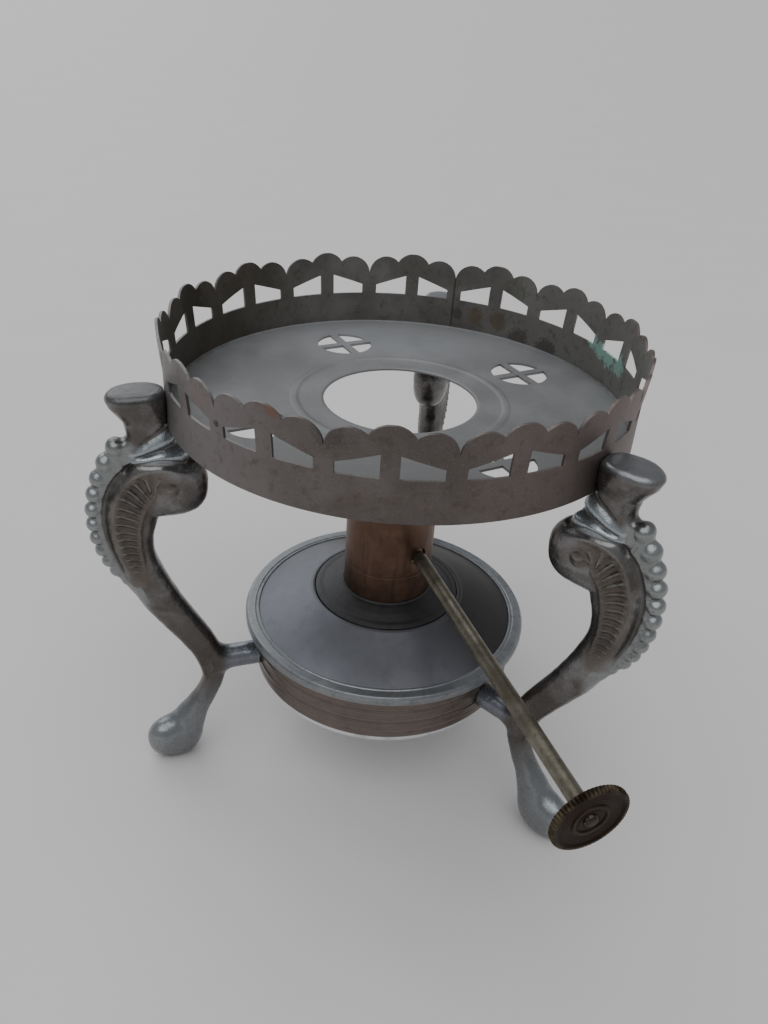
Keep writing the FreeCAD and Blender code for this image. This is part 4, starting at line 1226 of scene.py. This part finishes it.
def shoulder_metal():
    """Matt bluish grey, with painted brown shade over the right-hand side, towards the back."""
    paint = Paint("font_satin")
    x, y, _ = paint.axes()
    cloud = paint.noise(18.0, 4.0, 0.6)
    fine = paint.noise(0.35, 2.0, 0.6)
    speck = paint.noise(4.0, 4.0, 0.7)
    colour = paint.mix(paint.steps(cloud, 0.35, 0.7), (0.150, 0.153, 0.170), (0.198, 0.202, 0.224))
    # Painted shade: dark brown over the side away from the light.
    bearing = paint.math("ADD", x, paint.math("MULTIPLY", y, 0.70))
    bearing = paint.math("ADD", bearing, paint.math("MULTIPLY", cloud, 0.012))
    brown = paint.steps(bearing, -0.002, 0.022)
    colour = paint.over(colour, (0.042, 0.035, 0.031), brown, 0.92)
    colour = paint.over(colour, (0.085, 0.076, 0.070), paint.steps(speck, 0.52, 0.75), 0.3)
    colour = paint.over(colour, (0.23, 0.23, 0.235), paint.steps(fine, 0.5, 0.8), 0.2)
    worn = paint.math("MULTIPLY", paint.attribute("edge"), 0.3)
    colour = paint.mix(worn, colour, (0.20, 0.20, 0.205))
    paint.height((fine, 0.012), (speck, 0.02), (paint.turned_lines(0.5), 0.010))
    return paint.surface(colour, paint.math("ADD", paint.math("MULTIPLY", cloud, 0.2), 0.38), 0.7)


def base_metal(bottom):
    """Dull grey pan with a dark line above its lower corner; the corner is smoother and carries a painted
    highlight, the floor's reflection.
    """
    paint = Paint("base_nickel")
    _, _, z = paint.axes()
    cloud = paint.noise(9.0, 4.0, 0.6)
    fine = paint.noise(0.35, 2.0, 0.6)
    level = paint.math("SUBTRACT", z, bottom * MM)
    colour = paint.mix(paint.steps(cloud, 0.35, 0.7), (0.150, 0.138, 0.128), (0.205, 0.190, 0.178))
    low_part = paint.steps_below(level, 0.0040, 0.0046)
    colour = paint.mix(low_part, colour, (0.050, 0.042, 0.038))
    # Painted highlight: a bright silver band on the lower corner, where the floor is reflected; the same
    # band is also smoother.
    polish_and_highlight = paint.steps_below(level, 0.0028, 0.0033)
    colour = paint.over(colour, (0.86, 0.88, 0.90), polish_and_highlight, paint.steps(cloud, 0.1, 0.5))
    colour = paint.over(colour, (0.30, 0.29, 0.28), paint.steps(fine, 0.5, 0.8), 0.2)
    paint.height((fine, 0.01), (paint.turned_lines(0.4), 0.012))
    rough = paint.math("SUBTRACT", 0.42, paint.math("MULTIPLY", polish_and_highlight, 0.17))
    return paint.surface(colour, rough, 0.9)


def rim_metal():
    """Greenish grey top with bright rubbed lips at both edges."""
    return satin_metal(
        "rim_satin", (0.205, 0.214, 0.222), (0.095, 0.088, 0.078), (0.36, 0.37, 0.38),
        roughness=0.40, metallic=0.8, blotch=7.0, lines=0.5, edge_share=0.35, stain_share=0.5)


def plain_brass(name):
    """Dull yellow brass for the small inner parts."""
    return satin_metal(
        name, (0.26, 0.205, 0.115), (0.12, 0.085, 0.045), (0.5, 0.42, 0.27),
        roughness=0.38, metallic=0.9, blotch=5.0, edge_share=0.0)


def make_head():
    """Flange, tube, cap and guide of the burner head."""
    spigot_bottom, hub = low("burner_flange").z, high("burner_flange").z
    tube_bottom = low("burner_tube").z
    outer = half_width("burner_flange")
    tube = TUBE_RADIUS
    flange = lathe("burner_flange_turned", [
        (15.9, spigot_bottom, 0.1), (17.2, spigot_bottom, 0.2), (17.2, tube_bottom, 0.0),
        (outer, tube_bottom, 0.15), (outer, 51.95, 0.1), (outer - 1.0, 52.35, 0.6),
        (outer - 2.4, 52.55, 0.5), (16.6, 53.3, 1.2), (tube + 1.5, 54.1, 0.5), (tube + 0.5, 54.3, 0.3),
        (tube + 0.35, hub, 0.15),
        (tube + 0.02, hub, 0.1), (tube + 0.02, tube_bottom, 0.0), (15.9, tube_bottom, 0.0),
    ], segments=224)
    give(flange, satin_metal(
        "flange_satin", (0.060, 0.058, 0.060), (0.042, 0.036, 0.032), (0.110, 0.108, 0.108),
        roughness=0.52, metallic=0.8, blotch=9.0, lines=0.5, edge_share=0.3, stain_share=0.4))
    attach(flange, "head")
    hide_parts("burner_flange")

    top = high("burner_tube").z
    wall = SHEET
    body = lathe("burner_tube_drawn", [
        (tube - wall, tube_bottom, 0.0), (tube, tube_bottom, 0.0), (tube, SLEEVE_TOP, 0.0),
        (tube - 0.06, SLEEVE_TOP + 0.12, 0.0), (tube - 0.06, SLEEVE_TOP + 0.6, 0.0),
        (tube, SLEEVE_TOP + 0.8, 0.0),
        (tube, 80.0, 0.0), (tube, top - 1.7, 0.2), (tube + 0.45, top - 1.15, 0.3),
        (tube + 0.45, top - 0.45, 0.3), (tube, top, 0.25), (tube - wall, top, 0.2),
    ], segments=192)
    cut_out(body, "rod_hole", rod_cutter())
    even_normals(body)
    give(body, tube_metal())
    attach(body, "head")
    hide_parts("burner_tube")
    give(frame["nodes"]["burner_cap"], tube_metal())
    give(frame["nodes"]["wick_guide"], plain_brass("guide_brass"))
    for node in ("outer_bush", "inner_bush"):
        give(frame["nodes"][node], plain_brass(node + "_brass"))
    give(frame["nodes"]["neck_gasket"], gasket_leather())


def tube_metal():
    """Copper-brown from heat, with faint upright wipes."""
    paint = Paint("tube_copper")
    cloud = paint.noise(7.0, 4.0, 0.6)
    wipes = paint.noise(5.0, 3.0, 0.6, stretch=(3.0, 3.0, 0.35))
    fine = paint.noise(0.35, 2.0, 0.7)
    colour = paint.mix(paint.steps(cloud, 0.35, 0.7), (0.108, 0.062, 0.042), (0.162, 0.098, 0.068))
    colour = paint.over(colour, (0.070, 0.045, 0.034), paint.steps(wipes, 0.48, 0.7), 0.55)
    colour = paint.over(colour, (0.22, 0.155, 0.115), paint.steps(fine, 0.5, 0.8), 0.3)
    paint.height((fine, 0.012), (wipes, 0.03))
    return paint.surface(colour, paint.math("ADD", paint.math("MULTIPLY", cloud, 0.2), 0.32), 0.85)


def gasket_leather():
    """Oiled brown leather."""
    paint = Paint("gasket_oiled")
    grain = paint.noise(0.8, 4.0, 0.7)
    colour = paint.mix(grain, (0.10, 0.058, 0.034), (0.22, 0.14, 0.085))
    paint.height((grain, 0.08))
    return paint.surface(colour, 0.7, 0.0)


# ----------------------------------------------------------------- the winder

def winder_frame(distance=0.0):
    """A frame whose Z runs out along the rod; distance 0 is at the tube's wall."""
    joint = joints["winder_turn"]
    outwards = -Vector(joint["axis"]).normalized()
    turn = outwards.to_track_quat("Z", "Y").to_matrix().to_4x4()
    return Matrix.Translation(Vector(joint["pos_m"]) + outwards * distance * MM) @ turn


def rod_cutter():
    """The hole in the tube's wall for the rod."""
    vertices = []
    count, radius, start, length = 40, 2.5, -3.0, 6.0
    place = winder_frame(start)
    for z in (0.0, length):
        for step in range(count):
            angle = 2 * math.pi * step / count
            corner = place @ (Vector((radius * math.cos(angle), radius * math.sin(angle), z)) * MM)
            vertices.append(tuple(corner / MM))
    return piece_from("rod_cutter", vertices, prism_faces(0, count))


ROD_RADIUS, SPINDLE_RADIUS, ROD_END, SPINDLE_END = 2.0, 1.5, 88.2, -21.7
WHEEL_RADIUS, WHEEL_THICK, WHEEL_RECESS, KNURLS = 9.1, 1.8, 0.35, 60


def make_winder():
    """Rod and spindle in one turning, its thumbwheel and the brass on it."""
    place = winder_frame()
    face = ROD_END + WHEEL_THICK - WHEEL_RECESS
    shaft = lathe("winder_shaft_turned", [
        (0.0, SPINDLE_END, 0.0), (SPINDLE_RADIUS, SPINDLE_END, 0.3), (SPINDLE_RADIUS, 0.8, 0.1),
        (ROD_RADIUS, 0.8, 0.35), (ROD_RADIUS, 20.0, 0.0), (ROD_RADIUS, 45.0, 0.0), (ROD_RADIUS, 70.0, 0.0),
        (ROD_RADIUS, ROD_END, 0.0), (SPINDLE_RADIUS, ROD_END, 0.0), (SPINDLE_RADIUS, face, 0.0),
        (1.7, face, 0.0), (1.62, face + 0.35, 0.25), (1.1, face + 0.85, 0.35), (0.0, face + 0.9, 0.0),
    ], segments=64, place=place)
    give(shaft, rod_metal())
    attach(shaft, "winder")
    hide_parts("winder_shaft")
    make_thumbwheel()
    for node in ("spur_wheel_inner", "spur_wheel_middle", "spur_wheel_outer", "shaft_collar"):
        give(frame["nodes"][node], plain_brass(node + "_brass"))


def make_thumbwheel():
    """Disc with a straight-knurled edge and turned rings on its outer face."""
    profile = [
        (SPINDLE_RADIUS, 0.0, 0.0, 0.0), (WHEEL_RADIUS - 0.55, 0.0, 0.0, 0.0),
        (WHEEL_RADIUS - 0.30, 0.05, 0.4, 0.6), (WHEEL_RADIUS, 0.33, 1.0, 1.0),
        (WHEEL_RADIUS, WHEEL_THICK / 2, 1.0, 1.0), (WHEEL_RADIUS, WHEEL_THICK - 0.33, 1.0, 1.0),
        (WHEEL_RADIUS - 0.30, WHEEL_THICK - 0.05, 0.4, 0.8), (WHEEL_RADIUS - 0.55, WHEEL_THICK, 0.0, 0.4),
        (WHEEL_RADIUS - 1.05, WHEEL_THICK, 0.0, 0.2), (WHEEL_RADIUS - 1.3, WHEEL_THICK - 0.18, 0.0, 0.0),
    ]
    level = WHEEL_THICK - WHEEL_RECESS
    for number in range(5):
        middle = WHEEL_RADIUS - 1.9 - 0.62 * number
        profile += [
            (middle + 0.2, level, 0.0, 0.0), (middle, level + 0.06, 0.0, 0.1),
            (middle - 0.2, level, 0.0, 0.0)]
    profile += [
        (4.5, level, 0.0, 0.0), (4.38, WHEEL_THICK - 0.16, 0.0, 0.15), (4.2, WHEEL_THICK - 0.1, 0.0, 0.25),
        (3.8, WHEEL_THICK - 0.1, 0.0, 0.25), (3.62, WHEEL_THICK - 0.16, 0.0, 0.15), (3.5, level, 0.0, 0.0),
        (2.7, level, 0.0, 0.0), (2.5, level + 0.10, 0.0, 0.12), (2.2, level + 0.10, 0.0, 0.12),
        (2.0, level, 0.0, 0.0), (SPINDLE_RADIUS, level, 0.0, 0.0)]
    profile.append((SPINDLE_RADIUS, level / 2, 0.0, 0.0))
    per_knurl, depth = 8, 0.34
    segments = KNURLS * per_knurl
    place = winder_frame(ROD_END)
    vertices, edge = [], []
    for turn in range(segments):
        angle = 2 * math.pi * turn / segments
        tooth = abs((turn % per_knurl) / per_knurl * 2 - 1)
        for radius, z, knurled, value in profile:
            cut = depth * knurled * (1 - tooth) ** 1.3
            reach = radius - cut
            spot = place @ (Vector((reach * math.cos(angle), reach * math.sin(angle), z)) * MM)
            vertices.append(tuple(spot / MM))
            edge.append(value * (0.25 + 0.75 * tooth if knurled else 1.0))
    wheel = piece_from(
        "thumbwheel_knurled", vertices, turned_faces(profile, segments), smooth_angle=30.0)
    point_values(wheel, "edge", edge)
    tidy_mesh(wheel)
    give(wheel, satin_metal(
        "wheel_bronze", (0.021, 0.013, 0.0075), (0.015, 0.009, 0.005), (0.190, 0.155, 0.098),
        roughness=0.52, metallic=0.9, blotch=4.0, grain=0.3, edge_share=0.7, stain_share=0.6))
    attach(wheel, "winder")
    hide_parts("thumbwheel")


def rod_metal():
    """Olive brass, dark at its end by the wheel, with fine scuffs along and across."""
    paint = Paint("rod_olive")
    cloud = paint.noise(6.0, 4.0, 0.65)
    fine = paint.noise(0.4, 3.0, 0.7)
    speck = paint.noise(1.4, 4.0, 0.7)
    colour = paint.mix(paint.steps(cloud, 0.35, 0.68), (0.138, 0.124, 0.094), (0.228, 0.208, 0.164))
    colour = paint.over(colour, (0.075, 0.055, 0.032), paint.steps(speck, 0.5, 0.7), 0.5)
    colour = paint.over(colour, (0.34, 0.31, 0.23), paint.steps(fine, 0.55, 0.8), 0.35)
    end = winder_frame(ROD_END + WHEEL_THICK).translation / MM
    dark_end = patch_round(paint, tuple(end), 2.6, 1.0)
    colour = paint.over(colour, (0.030, 0.021, 0.013), dark_end, 0.9)
    paint.height((fine, 0.015), (speck, 0.03))
    return paint.surface(colour, paint.math("ADD", paint.math("MULTIPLY", speck, 0.3), 0.28), 0.9)


# ------------------------------------------------------------------- the wick

WICK_AZIMUTH, WICK_HALF, WICK_NEAR, WICK_FAR = -68.8, 7.35, 0.85, -2.05


def make_wick():
    """A flat woven strip: rounded warp cords crossed by weft, frayed at its top."""
    azimuth = math.radians(WICK_AZIMUTH)
    half, near, far = WICK_HALF, WICK_NEAR, WICK_FAR
    bottom, top = low("wick").z, high("wick").z
    cords, per_cord = 13, 8
    pick = 0.9
    rows = int((top - bottom) / pick * 6)
    middle, thick = (near + far) / 2, (near - far) / 2
    across_count = cords * per_cord
    rng = np.random.default_rng(SEED + 1)
    fray = rng.uniform(0.0, 0.9, across_count + 1)
    vertices, faces = [], []
    loop = []
    for side in (1, -1):
        order = range(across_count + 1) if side > 0 else range(across_count, -1, -1)
        for column in order:
            loop.append((column, side))
    for row in range(rows + 1):
        z = bottom + (top - bottom) * row / rows
        for column, side in loop:
            across = -half + 2 * half * column / across_count
            cord = column / per_cord
            under = math.sin(math.pi * (z - bottom) / pick + math.pi * int(cord))
            crown = math.sqrt(abs(math.sin(math.pi * cord))) if 0 < cord < cords else 0.0
            roundness = math.sqrt(max(0.0, 1 - (abs(across) / (half + 0.02)) ** 6))
            bulge = (thick - 0.42 + 0.25 * crown + 0.17 * under * crown * side) * roundness
            level = z
            if row > rows - 5:
                level = min(z, top - fray[column])
            vertices.append((across, middle + side * bulge, level))
    count = len(loop)
    for row in range(rows):
        for n in range(count):
            m = (n + 1) % count
            faces.append((row * count + n, row * count + m, (row + 1) * count + m, (row + 1) * count + n))
    faces.append(tuple(reversed(range(count))))
    faces.append(tuple(rows * count + n for n in range(count)))
    turned = Matrix.Rotation(azimuth, 3, "Z")
    vertices = [tuple(turned @ Vector(v)) for v in vertices]
    piece = piece_from("wick_woven", vertices, faces, smooth_angle=60.0)
    tidy_mesh(piece)
    give(piece, wick_cotton(top))
    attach(piece, "wick")
    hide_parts("wick")


def wick_cotton(top):
    """Cream cotton, soaked darker below and scorched black at the top."""
    paint = Paint("wick_scorched")
    _, _, z = paint.axes()
    ragged = paint.math("ADD", z, paint.math("MULTIPLY", paint.noise(1.5, 3.0), 0.003))
    fibre = paint.noise(0.25, 3.0, 0.7, stretch=(3.0, 3.0, 0.6))
    colour = paint.mix(fibre, (0.42, 0.35, 0.25), (0.66, 0.58, 0.45))
    brown = paint.steps(ragged, (top - 9.0) * MM, (top - 2.5) * MM)
    black = paint.steps(ragged, (top - 3.0) * MM, top * MM)
    colour = paint.mix(brown, colour, (0.13, 0.08, 0.045))
    colour = paint.mix(black, colour, (0.018, 0.016, 0.015))
    paint.height((fibre, 0.08))
    return paint.surface(colour, 0.92, 0.0)


def finish_carried_nodes():
    """Gives the rivets their tone."""
    give(frame["nodes"]["seam_rivets"], plain_brass("rivet_dark"))


make_camera()
make_floor()
make_lights()
make_gallery_band()
make_top_plate()
make_holder_ring()
make_legs()
make_font()
make_head()
make_winder()
make_wick()
finish_carried_nodes()
